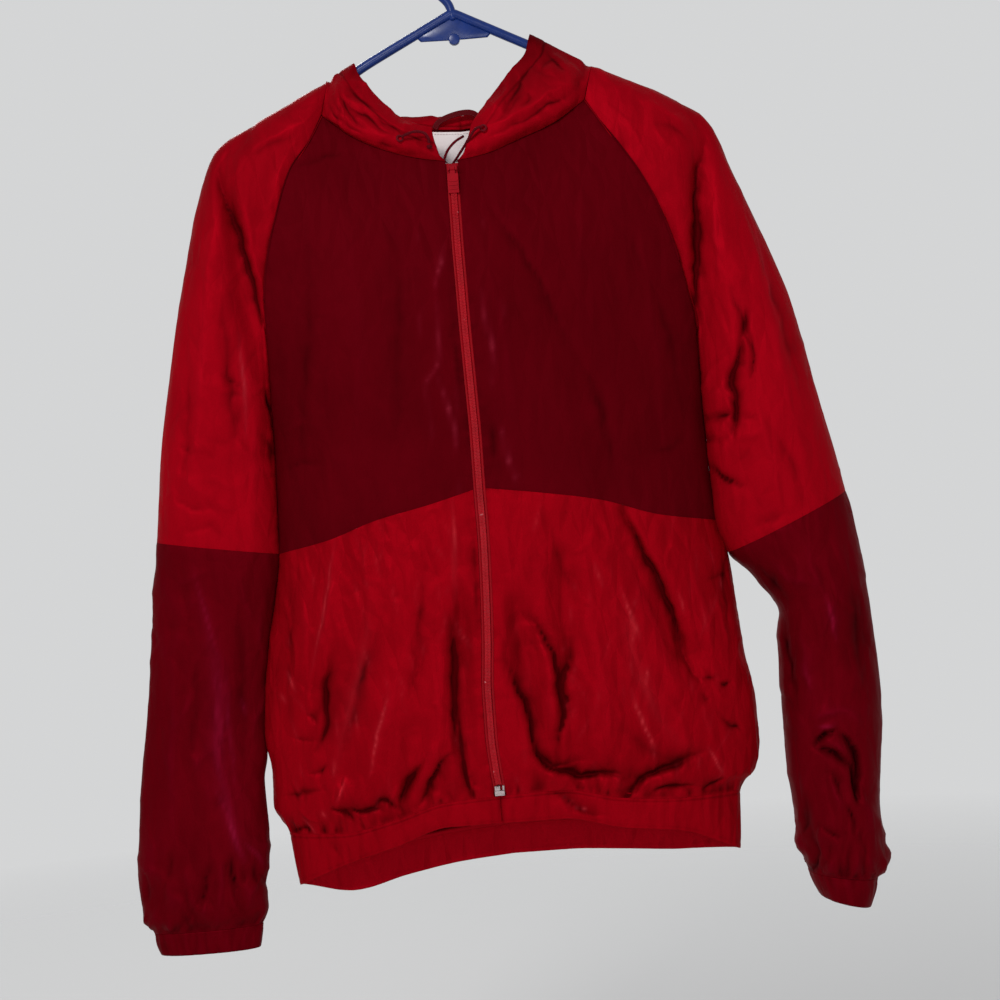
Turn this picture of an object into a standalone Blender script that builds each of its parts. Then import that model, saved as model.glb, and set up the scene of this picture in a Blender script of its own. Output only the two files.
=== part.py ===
"""Hooded windbreaker with a full front zip, hanging on a tubular hanger.

Every cloth piece is an open surface laid through sections of the garment
and thickened by a Solidify modifier. Lengths in the tables are millimetres.
The origin is the seat of the hanger's hook. X runs to the wearer's left,
-Y is the front, +Z is up.
"""
import math

import bmesh
import bpy
import numpy as np
from mathutils import Matrix, Vector

for _ob in list(bpy.data.objects):
    bpy.data.objects.remove(_ob, do_unlink=True)

MM = 0.001
WALL = 1.0        # woven panel, a little thicker than real so that it stays a wall
RIB = 1.6         # elastic waistband and cuffs
SEAM = 0.36       # space left along every seam
ZIP_HALF = 5.5    # zip line to the edge of the front panels

parts = bpy.data.collections.new("windbreaker_on_hanger")
cutters = bpy.data.collections.new("cutters")
bpy.context.scene.collection.children.link(parts)
bpy.context.scene.collection.children.link(cutters)


# ---------------------------------------------------------------- materials
def material(name, color, roughness, metallic=0.0):
    mat = bpy.data.materials.new(name)
    mat.use_nodes = True
    bsdf = mat.node_tree.nodes["Principled BSDF"]
    bsdf.inputs["Base Color"].default_value = (*color, 1.0)
    bsdf.inputs["Roughness"].default_value = roughness
    bsdf.inputs["Metallic"].default_value = metallic
    mat.diffuse_color = (*color, 1.0)
    return mat


RED = material("red_nylon", (0.300, 0.003, 0.006), 0.42)
MAROON = material("maroon_nylon", (0.082, 0.002, 0.006), 0.42)
RED_ZIP = material("red_zip", (0.330, 0.004, 0.008), 0.45)
CORD = material("maroon_cord", (0.080, 0.002, 0.008), 0.60)
LABEL = material("white_label", (0.640, 0.520, 0.520), 0.70)
BLUE = material("blue_plastic", (0.010, 0.045, 0.280), 0.35)
SILVER = material("silver_metal", (0.780, 0.720, 0.720), 0.30, 1.0)
LOOP = material("dark_red_tape", (0.120, 0.002, 0.006), 0.60)


# ------------------------------------------------------------ interpolation
def column(table, key, name):
    head = table[0]
    k, c = head.index(key), head.index(name)
    rows = table[1:]
    return [r[k] for r in rows], [r[c] for r in rows]


def pchip(xs, ys, x):
    """Monotone cubic through rows (xs, ys), read at x."""
    xs = np.asarray(xs, float)
    ys = np.asarray(ys, float)
    h = np.diff(xs)
    d = np.diff(ys) / h
    m = np.zeros(len(xs))
    m[0], m[-1] = d[0], d[-1]
    for i in range(1, len(xs) - 1):
        if d[i - 1] * d[i] > 0:
            w1, w2 = 2 * h[i] + h[i - 1], h[i] + 2 * h[i - 1]
            m[i] = (w1 + w2) / (w1 / d[i - 1] + w2 / d[i])
    x = min(max(x, xs[0]), xs[-1])
    i = min(int(np.searchsorted(xs, x, side="right")) - 1, len(h) - 1)
    t = (x - xs[i]) / h[i]
    a = (1 + 2 * t) * (1 - t) ** 2
    b = t * (1 - t) ** 2
    c = t * t * (3 - 2 * t)
    e = t * t * (t - 1)
    return float(a * ys[i] + b * h[i] * m[i] + c * ys[i + 1] + e * h[i] * m[i + 1])


class Rows:
    """A table with named columns, read between its rows."""

    def __init__(self, table, key="v"):
        self.cols = {n: column(table, key, n) for n in table[0]}

    def __call__(self, name, v):
        return pchip(*self.cols[name], v)


def smooth_path(points, n):
    """n points along a smooth curve (Catmull-Rom) through the given ones."""
    p = [Vector(q) for q in points]
    p = [2 * p[0] - p[1]] + p + [2 * p[-1] - p[-2]]
    out = []
    for i in range(1, len(p) - 2):
        for j in range(24):
            t = j / 24
            a, b, c, d = p[i - 1], p[i], p[i + 1], p[i + 2]
            out.append(0.5 * ((2 * b) + (c - a) * t + (2 * a - 5 * b + 4 * c - d) * t * t
                              + (3 * b - a - 3 * c + d) * t ** 3))
    out.append(p[-2])
    run = [0.0]
    for a, b in zip(out, out[1:]):
        run.append(run[-1] + (b - a).length)
    res = []
    k = 0
    for i in range(n):
        s = run[-1] * i / (n - 1)
        while k < len(run) - 2 and run[k + 1] < s:
            k += 1
        f = (s - run[k]) / max(run[k + 1] - run[k], 1e-9)
        res.append(out[k].lerp(out[k + 1], min(max(f, 0.0), 1.0)))
    return res


# ------------------------------------------------------------------- tables
# Front of the body, one row for each level. v counts levels, xl and xr are
# the side edges, yc the depth on the zip line, yl and yr the depth at the
# edges, k goes from a smooth join with the sleeve (0) to a rounded edge (1),
# and z is the height at the fractions of the half width, left to right.
FRONT = Rows([
    ("v", "xl", "xr", "xz", "yc", "yl", "yr", "k", "l4", "l3", "l2", "l1", "c", "r1", "r2", "r3", "r4"),
    (0, -123, 112, -10, -25, -16, -16, 0.00, -153, -176, -190, -199, -204, -199, -188, -176, -156),
    (1, -135, 123, -10, -31, -22, -22, 0.00, -176, -208, -225, -233, -236, -233, -224, -206, -175),
    (2, -153, 140, -10, -36, -27, -27, 0.05, -201, -238, -258, -268, -272, -268, -257, -236, -201),
    (3, -168, 158, -9.5, -39, -30, -30, 0.10, -242, -275, -295, -306, -310, -305, -293, -270, -232),
    (4, -179, 174, -9, -41, -29, -29, 0.20, -281, -313, -333, -344, -348, -343, -330, -307, -270),
    (5, -185, 187, -8, -42, -25, -25, 0.40, -325, -353, -372, -382, -386, -381, -369, -348, -317),
    (6, -186, 196, -7, -43, -17, -17, 0.65, -370, -395, -412, -420, -424, -419, -409, -390, -362),
    (7, -187, 197.5, -6.5, -43, -8, -8, 0.88, -412, -430, -441, -446, -448, -445, -439, -427, -408),
    (8, -188, 199, -6.5, -44, 0, 0, 1.00, -452, -464, -469, -470, -470, -469, -467, -462, -452),
    (9, -191, 203, -6.5, -44, 0, 0, 1.00, -540, -531, -516, -506, -494, -502, -512, -529, -538),
    (10, -197, 212, -6, -45, 0, 0, 1.00, -578, -565, -552, -542, -535, -541, -550, -560, -568),
    (11, -207, 216, -7, -46, 0, 0, 1.00, -625, -610, -596, -587, -580, -586, -594, -603, -612),
    (12, -213, 220, -9, -47, 0, 0, 1.00, -668, -655, -642, -633, -628, -632, -640, -648, -656),
    (13, -215.5, 227, -12, -48, 0, 0, 1.00, -704, -694, -684, -678, -675, -677, -684, -692, -700),
    (14, -211, 228, -12, -48, 0, 0, 1.00, -735, -727, -718, -712, -710, -712, -719, -728, -736),
    (15, -212, 223, -10, -46, 0, 0, 1.00, -765, -763, -753, -743, -742, -741, -750, -760, -762),
    (16, -200, 208, -8, -39, 0, 0, 1.00, -790, -791, -782, -769, -766, -765, -776, -781, -781),
    (17, -194, 204, -8, -35, 0, 0, 1.00, -838, -819, -805, -791, -791, -791, -803, -811, -834),
])
# Back of the body; its side edges from level 3 down are those of the front.
BACK = Rows([
    ("v", "xl", "xr", "yc", "yl", "yr", "k", "l4", "l3", "l2", "l1", "c", "r1", "r2", "r3", "r4"),
    (0, -104, 96, 15, 9, 9, 0.00, -140, -152, -160, -165, -167, -165, -160, -153, -143),
    (1, -126, 117, 18, 14, 14, 0.00, -172, -188, -198, -204, -206, -204, -198, -188, -172),
    (2, -150, 138, 20, 17, 17, 0.05, -201, -224, -238, -244, -246, -244, -238, -223, -200),
    (3, -168, 158, 22, 19, 19, 0.10, -242, -264, -278, -285, -288, -285, -276, -260, -232),
    (4, -179, 174, 24, 18, 18, 0.20, -281, -304, -318, -325, -328, -325, -316, -299, -270),
    (5, -185, 187, 25, 15, 15, 0.40, -325, -346, -358, -365, -368, -365, -356, -342, -317),
    (6, -186, 196, 25, 10, 10, 0.65, -370, -388, -399, -405, -408, -405, -397, -384, -362),
    (7, -187, 197.5, 25, 5, 5, 0.88, -412, -424, -431, -434, -436, -434, -430, -423, -408),
    (8, -188, 199, 25, 0, 0, 1.00, -452, -458, -461, -462, -462, -462, -461, -458, -452),
    (9, -191, 203, 26, 0, 0, 1.00, -540, -528, -516, -505, -500, -504, -514, -526, -538),
    (10, -197, 212, 27, 0, 0, 1.00, -578, -566, -555, -546, -541, -545, -553, -562, -568),
    (11, -207, 216, 27, 0, 0, 1.00, -625, -612, -600, -591, -586, -590, -597, -605, -612),
    (12, -213, 220, 27, 0, 0, 1.00, -668, -659, -648, -640, -635, -639, -645, -651, -656),
    (13, -215.5, 227, 27, 0, 0, 1.00, -704, -700, -692, -685, -682, -684, -689, -695, -700),
    (14, -211, 228, 27, 0, 0, 1.00, -735, -735, -729, -723, -720, -722, -727, -732, -736),
    (15, -212, 223, 27, 0, 0, 1.00, -765, -773, -771, -767, -765, -765, -767, -767, -762),
    (16, -200, 208, 23, 0, 0, 1.00, -790, -822, -811, -804, -800, -800, -803, -803, -781),
    (17, -194, 204, 22, 0, 0, 1.00, -838, -850, -840, -832, -828, -828, -831, -834, -834),
])
# Sleeves. Down to level 8 a section runs from the raglan seam over the outer
# edge (xo, zo) and back; below it is a ring with the inner edge (xi, zi).
# yf and yb are how far its front and back stand out, vs and vd say where the
# deep valley of the front lies across the section and how deep it is.
SLEEVE_L = Rows([
    ("v", "xi", "zi", "xo", "zo", "yf", "yb", "vs", "vd"),
    (0, -123, -153, -115, -119.6, -17, 13, 0.95, 0),
    (1, -135, -176, -146, -134.5, -22, 15, 0.95, 0),
    (2, -153, -201, -184, -153.5, -27, 18, 0.92, 1),
    (3, -168, -242, -222, -177, -31, 21, 0.80, 4),
    (4, -179, -281, -241, -222, -33, 23, 0.45, 9),
    (5, -185, -325, -256, -278, -32, 23, 0.24, 9),
    (6, -186, -370, -270, -338, -30, 22, 0.12, 4),
    (7, -188, -412, -280, -388, -29, 22, 0.10, 0),
    (8, -190.5, -454, -289, -436, -28, 21, 0.1, 0),
    (9, -194, -500, -295, -482, -27, 20, 0.1, 0),
    (10, -196, -540, -300, -522, -26, 20, 0.1, 0),
    (11, -203, -590, -308, -578, -23, 18, 0.1, 0),
    (12, -212, -640, -314, -634, -20, 16, 0.1, 0),
    (13, -219, -690, -322, -690, -18, 15, 0.1, 0),
    (14, -219, -735, -330, -738, -18, 15, 0.1, 0),
    (15, -217.5, -775, -335, -785, -20, 16, 0.1, 0),
    (16, -220, -822, -338, -828, -22, 17, 0.1, 0),
    (17, -224, -856, -336, -858, -21, 17, 0.1, 0),
    (18, -229, -870, -328, -872, -15, 12, 0.1, 0),
    (19, -231, -880, -326, -882, -14, 12, 0.1, 0),
    (20, -233, -891, -323, -892, -14, 11, 0.1, 0),
])
SLEEVE_R = Rows([
    ("v", "xi", "zi", "xo", "zo", "yf", "yb", "vs", "vd"),
    (0, 112, -156, 121, -123, -17, 13, 0.95, 0),
    (1, 123, -175, 152, -137.5, -22, 15, 0.95, 0),
    (2, 140, -201, 186, -154.5, -27, 18, 0.92, 1),
    (3, 158, -232, 222, -181, -31, 21, 0.82, 4),
    (4, 174, -270, 240, -226, -34, 23, 0.50, 9),
    (5, 187, -317, 262, -282, -35, 24, 0.26, 10),
    (6, 196, -362, 282, -338, -36, 25, 0.12, 6),
    (7, 199.5, -408, 294, -390, -37, 26, 0.1, 2),
    (8, 202.5, -454, 305, -444, -37, 26, 0.1, 0),
    (9, 207, -508, 314, -484, -37, 26, 0.1, 0),
    (10, 218, -568, 321, -520, -36, 26, 0.1, 0),
    (11, 237, -598, 330, -570, -37, 27, 0.1, 0),
    (12, 253, -626, 334, -612, -37, 28, 0.1, 0),
    (13, 250, -665, 338, -662, -34, 28, 0.1, 0),
    (14, 249, -704, 340, -712, -34, 28, 0.1, 0),
    (15, 251, -767, 335, -764, -35, 29, 0.1, 0),
    (16, 256, -816, 331, -806, -37, 30, 0.1, 0),
    (17, 259, -846, 334, -846, -36, 30, 0.1, 0),
    (18, 263, -858, 325, -868, -31, 27, 0.1, 0),
    (19, 267, -869, 322, -879, -31, 27, 0.1, 0),
    (20, 272, -881, 317, -893, -31, 27, 0.1, 0),
])
# Large folds that the panels themselves carry. Each runs from a to b on the
# front, with its half width, its depth (a trough goes in, a ridge comes out).
FOLDS = [
    ("ax", "az", "bx", "bz", "width", "depth"),
    (88, -395, 118, -560, 12, 2.5),
    (118, -560, 172, -668, 13, 7),
    (-27, -590, -22, -745, 11, 5),
    (18, -600, 38, -735, 11, 6),
    (63, -560, 62, -745, 11, 5),
    (-122, -690, -146, -745, 11, 4),
    (-76, -700, -92, -760, 11, 5),
]


def fold_depth(x, z):
    """Sum of the large folds at a point of the front, positive inwards."""
    total = 0.0
    for ax, az, bx, bz, width, depth in FOLDS[1:]:
        dx, dz = bx - ax, bz - az
        ll = dx * dx + dz * dz
        t = ((x - ax) * dx + (z - az) * dz) / ll
        if t < -0.25 or t > 1.2:
            continue
        tc = min(max(t, 0.0), 1.0)
        d = math.hypot(x - ax - tc * dx, z - az - tc * dz)
        ends = min(1.0, max(0.0, (t + 0.25) / 0.35)) * min(1.0, max(0.0, (1.2 - t) / 0.3))
        total += depth * ends * math.exp(-(d / width) ** 2)
    return total


# ----------------------------------------------------------------- surfaces
def across(rows, v, u):
    """Height of a body level at signed fraction u of the half width."""
    names = ("c", "r1", "r2", "r3", "r4") if u >= 0 else ("c", "l1", "l2", "l3", "l4")
    return pchip([0, 0.25, 0.5, 0.75, 1], [rows(n, v) for n in names], abs(u))


def body_front(v, u, folds=True):
    a = abs(u)
    edge = FRONT("xr" if u >= 0 else "xl", v)
    ye = FRONT("yr" if u >= 0 else "yl", v)
    xz = FRONT("xz", v)
    k = FRONT("k", v)
    yc = FRONT("yc", v)
    x = xz + (edge - xz) * a
    z = across(FRONT, v, u)
    y = ye + (yc - ye) * ((1 - k) * (1 - a * a) + k * math.sqrt(max(0.0, 1 - a ** 2.5)))
    if folds and v > 4:
        # folds die out at the side edge and on the band's own seam
        fade = min(1.0, (1 - a) / 0.12) * min(1.0, max(0.0, (16 - v) / 0.6))
        fade *= min(1.0, max(0.0, (abs(x - xz) - 13) / 8))
        y += fold_depth(x, z) * fade
    return Vector((x, y, z))


def body_back(v, u):
    a = abs(u)
    edge = BACK("xr" if u >= 0 else "xl", v)
    ye = BACK("yr" if u >= 0 else "yl", v)
    k = BACK("k", v)
    yc = BACK("yc", v)
    y = ye + (yc - ye) * ((1 - k) * (1 - a * a) + k * math.sqrt(max(0.0, 1 - a ** 2.5)))
    return Vector((edge * a, y, across(BACK, v, u)))


def sleeve(side, v, w):
    """Point of a sleeve: w is 0 at the front seam or inner edge, 1 on the
    outer edge, 2 at the back seam or inner edge again."""
    rows = SLEEVE_L if side < 0 else SLEEVE_R
    inner, depth = ("xl", "yl") if side < 0 else ("xr", "yr")
    front = w <= 1
    s = w if front else 2 - w
    xo, zo = rows("xo", v), rows("zo", v)
    k = FRONT("k", v) if v < 8 else 1.0
    if v < 8:
        src = FRONT if front else BACK
        zcol = "l4" if side < 0 else "r4"
        xi, yi, zi = src(inner, v), src(depth, v), src(zcol, v)
        # level 8 hands over from the body's edge to the sleeve's own
        if v > 7:
            f = v - 7
            xi = xi + f * (rows("xi", 8) - src(inner, 8))
            zi = zi + f * (rows("zi", 8) - src(zcol, 8))
    else:
        xi, yi, zi = rows("xi", v), 0.0, rows("zi", v)
    bulge = rows("yf" if front else "yb", v)
    x, z = xi + (xo - xi) * s, zi + (zo - zi) * s
    over = math.sqrt(max(0.0, 1 - s ** 3.5))
    lens = math.sqrt(max(0.0, 1 - abs(2 * s - 1) ** 2.3))
    swell = (bulge - yi) * (1 - k) * 0.35 * math.sin(math.pi * min(s / 0.9, 1.0)) ** 2
    y = (1 - k) * yi * over + k * bulge * lens + swell
    if front:
        vs, vd = rows("vs", v), rows("vd", v)
        fade = min(1.0, (1 - s) / 0.15) * min(1.0, s / 0.05)
        y += vd * fade * math.exp(-((s - vs) / 0.16) ** 2)
    return Vector((x, y, z))


# ------------------------------------------------------------- mesh helpers
def finish(ob, mat, smooth=True):
    ob.data.materials.clear()
    ob.data.materials.append(mat)
    for poly in ob.data.polygons:
        poly.use_smooth = smooth
    return ob


def link(name, mesh, mat, smooth=True, where=None):
    ob = bpy.data.objects.new(name, mesh)
    (where or parts).objects.link(ob)
    return finish(ob, mat, smooth)


def cloth(name, grid, mat, inside, wall=WALL, ring=False):
    """Cloth wall on a grid of points, thickened towards the point inside."""
    bm = bmesh.new()
    verts = [[bm.verts.new(p * MM) for p in row] for row in grid]
    n = len(grid[0])
    for a, b in zip(verts, verts[1:]):
        for j in range(n if ring else n - 1):
            bm.faces.new((a[j], a[(j + 1) % n], b[(j + 1) % n], b[j]))
    bm.normal_update()
    inside = Vector(inside) * MM
    facing = sum(f.calc_area() * f.normal.dot(f.calc_center_median() - inside) for f in bm.faces)
    if facing < 0:
        bmesh.ops.reverse_faces(bm, faces=bm.faces)
    mesh = bpy.data.meshes.new(name)
    bm.to_mesh(mesh)
    bm.free()
    ob = link(name, mesh, mat)
    mod = ob.modifiers.new("wall", "SOLIDIFY")
    mod.thickness = wall * MM
    mod.offset = -1.0
    mod.use_even_offset = False
    return ob


def steps(a, b, n, hold=0.0, ends=(True, True)):
    """n + 1 even steps from a to b, with a holding step beside each end."""
    out = [a + (b - a) * i / n for i in range(n + 1)]
    if hold:
        d = hold if b > a else -hold
        if ends[0]:
            out.insert(1, a + d)
        if ends[1]:
            out.insert(-1, b - d)
    return out


def round_edge(n, lo=0.0):
    """Fractions from lo to 1, closer together towards the rounded edge."""
    t = [i / n for i in range(n + 1)]
    t.insert(-1, 0.985)
    return [lo + (1 - lo) * math.sin(q * math.pi / 2) ** 0.9 for q in t]


def draw_in(lines, gap):
    """Move a border towards the next line of its grid until it is gap away,
    measured square to the border. A holding line close by goes with it."""
    border, held, beyond = lines
    moved, also = [], []
    for i, (p, q, r) in enumerate(zip(border, held, beyond)):
        along = border[min(i + 1, len(border) - 1)] - border[max(i - 1, 0)]
        d = r - p if (q - p).length < 2.0 else q - p
        square = d.cross(along).length / max(d.length * along.length, 1e-9)
        shift = d.normalized() * (gap / max(square, 0.15))
        moved.append(p + shift)
        also.append(q + shift if (q - p).length < 2.0 else q)
    return moved, also


def trim(grid, top=0.0, bottom=0.0, left=0.0, right=0.0):
    """Draw the borders of a grid in, to leave the space of a seam."""
    if top:
        grid[0], grid[1] = draw_in(grid[:3], top)
    if bottom:
        grid[-1], grid[-2] = draw_in(grid[:-4:-1], bottom)
    for gap, a, b, c in ((left, 0, 1, 2), (right, -1, -2, -3)):
        if gap:
            first, second = draw_in([[row[i] for row in grid] for i in (a, b, c)], gap)
            for row, p, q in zip(grid, first, second):
                row[a], row[b] = p, q
    return grid


def tube(name, points, radius, mat, resolution=2, cyclic=False):
    cu = bpy.data.curves.new(name, "CURVE")
    cu.dimensions = "3D"
    cu.bevel_depth = radius * MM
    cu.bevel_resolution = resolution
    cu.use_fill_caps = not cyclic
    sp = cu.splines.new("POLY")
    sp.points.add(len(points) - 1)
    for q, p in zip(sp.points, points):
        q.co = (p[0] * MM, p[1] * MM, p[2] * MM, 1)
    sp.use_cyclic_u = cyclic
    sp.use_smooth = True
    ob = bpy.data.objects.new(name, cu)
    cu.materials.append(mat)
    parts.objects.link(ob)
    return ob


def to_mesh(ob, name):
    """A curve object as a mesh object with welded caps."""
    deps = bpy.context.evaluated_depsgraph_get()
    mesh = bpy.data.meshes.new_from_object(ob.evaluated_get(deps))
    bm = bmesh.new()
    bm.from_mesh(mesh)
    bmesh.ops.remove_doubles(bm, verts=bm.verts, dist=1e-6)
    bm.to_mesh(mesh)
    bm.free()
    new = bpy.data.objects.new(name, mesh)
    new.matrix_world = ob.matrix_world
    parts.objects.link(new)
    bpy.data.objects.remove(ob, do_unlink=True)
    return new


def box(name, size, centre, mat=None, bevel=0.0, where=None, segments=2):
    bm = bmesh.new()
    bmesh.ops.create_cube(bm, size=1.0)
    bmesh.ops.scale(bm, vec=[s * MM for s in size], verts=bm.verts)
    mesh = bpy.data.meshes.new(name)
    bm.to_mesh(mesh)
    bm.free()
    ob = bpy.data.objects.new(name, mesh)
    (where or parts).objects.link(ob)
    ob.location = Vector(centre) * MM
    if mat:
        finish(ob, mat, False)
    if bevel:
        mod = ob.modifiers.new("edges", "BEVEL")
        mod.width = bevel * MM
        mod.segments = segments
        mod.limit_method = "ANGLE"
    return ob


def cylinder(name, radius, depth, centre, axis="X", mat=None, where=None, sides=24):
    bm = bmesh.new()
    bmesh.ops.create_cone(bm, cap_ends=True, segments=sides, radius1=radius * MM,
                          radius2=radius * MM, depth=depth * MM)
    turn = {"X": Matrix.Rotation(math.pi / 2, 3, "Y"), "Y": Matrix.Rotation(math.pi / 2, 3, "X"),
            "Z": Matrix.Identity(3)}[axis]
    bmesh.ops.transform(bm, matrix=turn.to_4x4(), verts=bm.verts)
    mesh = bpy.data.meshes.new(name)
    bm.to_mesh(mesh)
    bm.free()
    ob = bpy.data.objects.new(name, mesh)
    (where or parts).objects.link(ob)
    ob.location = Vector(centre) * MM
    if mat:
        finish(ob, mat, True)
    return ob


def boolean(ob, other, operation):
    mod = ob.modifiers.new(operation.lower(), "BOOLEAN")
    mod.operation = operation
    mod.object = other
    mod.solver = "EXACT"
    other.hide_render = True
    other.display_type = "WIRE"
    if other.name not in cutters.objects:
        for col in list(other.users_collection):
            col.objects.unlink(other)
        cutters.objects.link(other)


# --------------------------------------------------------------- the fronts
CHEST_V = [0, 1, 2, 2.5, 3, 3.5, 4, 5, 6, 7, 8, 8.5, 9]
LOWER_V = steps(9, 15, 9) + [15.35, 15.7, 16.0]
for side, tag in ((-1, "left"), (1, "right")):
    def front_grid(levels, cols):
        grid = []
        for v in levels:
            half = abs(FRONT("xr" if side > 0 else "xl", v) - FRONT("xz", v))
            grid.append([body_front(v, side * u) for u in round_edge(cols, ZIP_HALF / half)])
        return grid

    grid = trim(front_grid(CHEST_V, 8), top=SEAM, bottom=SEAM / 2, right=SEAM / 2)
    cloth(f"front_chest_{tag}", grid, MAROON, (0, 600, -350))
    grid = trim(front_grid(LOWER_V, 8), top=SEAM / 2, bottom=SEAM, right=SEAM / 2)
    cloth(f"front_lower_{tag}", grid, RED, (0, 600, -650))

# ----------------------------------------------------------------- the back
BACK_U = [-u for u in reversed(round_edge(6)[1:])] + round_edge(6)
grid = [[body_back(v, u) for u in BACK_U] for v in CHEST_V]
cloth("back_chest", trim(grid, top=SEAM, bottom=SEAM / 2, left=SEAM / 2, right=SEAM / 2),
      MAROON, (0, -600, -350))
grid = [[body_back(v, u) for u in BACK_U] for v in LOWER_V]
cloth("back_lower", trim(grid, top=SEAM / 2, bottom=SEAM, left=SEAM / 2, right=SEAM / 2),
      RED, (0, -600, -650))

# --------------------------------------------------------------- waistband
band = []
for v in (16.0, 16.35, 16.7, 17.0):
    row = []
    half_l = abs(FRONT("xl", v) - FRONT("xz", v))
    half_r = abs(FRONT("xr", v) - FRONT("xz", v))
    row += [body_front(v, -u) for u in [0.3 / half_l] + round_edge(8, ZIP_HALF / half_l)[:-1]]
    row += [body_back(v, u) for u in BACK_U]
    row += [body_front(v, u) for u in list(reversed(round_edge(8, ZIP_HALF / half_r)[:-1]))
            + [0.3 / half_r]]
    band.append(row)
cloth("waistband", band, RED, (0, 0, -800), wall=RIB)

# ------------------------------------------------------------------ sleeves
LOWER_SV = steps(10, 17, 9) + [17.5, 18.0]
UPPER_V = CHEST_V[:11] + [9, 10]
HALF_W = [0.0, 0.012, 0.09, 0.26, 0.45, 0.66, 0.86, 0.965]
SLEEVE_W = HALF_W + [1.0] + [2 - w for w in reversed(HALF_W)]
RING_W = [0.0, 0.05, 0.18, 0.39, 0.61, 0.82, 0.95,
          1.0, 1.05, 1.18, 1.39, 1.61, 1.82, 1.95]
for side, tag in ((-1, "left"), (1, "right")):
    for face, cols in (("front", SLEEVE_W[:9]), ("back", SLEEVE_W[8:])):
        grid = [[sleeve(side, v, w) for w in cols] for v in UPPER_V]
        inner, outer = SEAM, 1.8 * SEAM
        left, right = (inner, outer) if face == "front" else (outer, inner)
        trim(grid, top=1.6 * SEAM, bottom=SEAM / 2, left=left, right=right)
        cloth(f"sleeve_upper_{face}_{tag}", grid, RED, (side * 215, 0, -330))
    grid = trim([[sleeve(side, v, w) for w in RING_W] for v in LOWER_SV],
                top=SEAM / 2, bottom=SEAM)
    cloth(f"sleeve_lower_{tag}", grid, MAROON, (side * 280, 0, -700), ring=True)
    grid = [[sleeve(side, v, w) for w in RING_W] for v in (18.0, 18.5, 19.2, 20.0)]
    cloth(f"cuff_{tag}", grid, MAROON, (side * 285, 0, -880), wall=RIB, ring=True)

# --------------------------------------------------------------------- hood
# One row for each section, from the centre front round to the centre back.
# t is the place along the neck seam (0 to 1), then come five points that the
# section passes through; it starts on the neck seam and ends on the rim.
HOOD_HEAD = ("t", "x1", "y1", "z1", "x2", "y2", "z2", "x3", "y3", "z3",
             "x4", "y4", "z4", "x5", "y5", "z5")
HOOD_L = Rows([
    HOOD_HEAD,
    (0.00, -20, -27.5, -198, -22, -28, -191, -24, -27.5, -184, -25, -26, -178, -25.5, -24, -172),
    (0.16, -55, -31, -188, -53, -32.5, -182, -50.5, -30, -176, -48, -26, -170, -45, -20, -165),
    (0.44, -118, -21, -149, -110, -24, -143, -100, -22, -136, -91, -16, -130, -83, -9, -124),
    (0.51, -114, -15, -132, -107, -16, -127, -101, -14, -122, -95, -11, -117, -89, -6.5, -113),
    (0.545, -112, -8, -123, -106, -9, -119, -101, -8.5, -115.5, -95.5, -7.5, -112, -90.5, -5.8, -107),
    (0.575, -110, -1, -115.6, -105, -1.5, -112.4, -101, -1, -110, -96, 0, -107.2, -92, 1, -105),
    (0.66, -100, 12, -134, -98, 16, -140, -98, 22, -152, -92, 27, -143, -83, 25, -126),
    (0.73, -78, 17.5, -146, -84, 24, -178, -90, 33, -222, -82, 42, -190, -66, 41, -150),
    (0.82, -51, 21, -157, -60, 28.5, -215, -68, 40, -298, -60, 52, -245, -45, 54, -182),
    (0.92, -23, 22, -158, -27, 29, -242, -31, 42, -346, -26, 56, -284, -20, 58.5, -206),
    (1.00, -0.5, 22, -158.5, -0.5, 29, -250, -0.5, 42, -356, -0.5, 57, -294, -0.5, 59.5, -212),
], key="t")
HOOD_R = Rows([
    HOOD_HEAD,
    (0.00, 0.5, -27.5, -198, 3.5, -28, -191, 6, -27.5, -184, 8, -26, -178, 9.5, -24, -172),
    (0.16, 45, -32, -184, 40, -33.5, -176, 34, -31, -168, 28, -26, -161, 21, -19, -157),
    (0.44, 107, -22, -150, 97, -25, -142, 83, -23, -133, 68, -17, -127, 50, -9, -122),
    (0.51, 112, -15, -134, 102, -17, -127, 90, -15, -118, 78, -11, -111, 63, -6.5, -107),
    (0.545, 114, -8, -125.5, 103, -9, -119.5, 91.5, -8.5, -111.5, 79, -7.5, -104, 66, -5.8, -96.5),
    (0.575, 115, -1, -118.2, 104, -2, -112, 93, -1.5, -105.6, 80, -1, -97.2, 68, 1, -90),
    (0.66, 92, 12, -135, 90, 16, -138, 89, 22, -148, 80, 27, -136, 66, 25, -117),
    (0.73, 72, 17.5, -146, 78, 24, -178, 84, 33, -222, 76, 42, -188, 59, 41, -143),
    (0.82, 47, 21, -156, 56, 28.5, -215, 64, 40, -298, 56, 52, -243, 42, 54, -178),
    (0.92, 23, 22, -158, 26, 29, -242, 30, 42, -346, 25, 56, -284, 19, 58.5, -205),
    (1.00, 0.5, 22, -158.5, 0.5, 29, -250, 0.5, 42, -356, 0.5, 57, -294, 0.5, 59.5, -212),
], key="t")


def neck_seam(side):
    """Points on the neck seam from the zip round to the centre back."""
    half = abs(FRONT("xr" if side > 0 else "xl", 0) - FRONT("xz", 0))
    pts = [body_front(0, side * u) for u in round_edge(8, ZIP_HALF / half)]
    pts += [sleeve(side, 0, w) for w in SLEEVE_W[1:]]
    pts += [body_back(0, side * u) for u in reversed(round_edge(6)[1:-1])]
    pts.append(Vector((side * 0.5, BACK("yc", 0), BACK("c", 0))))
    return pts


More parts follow.
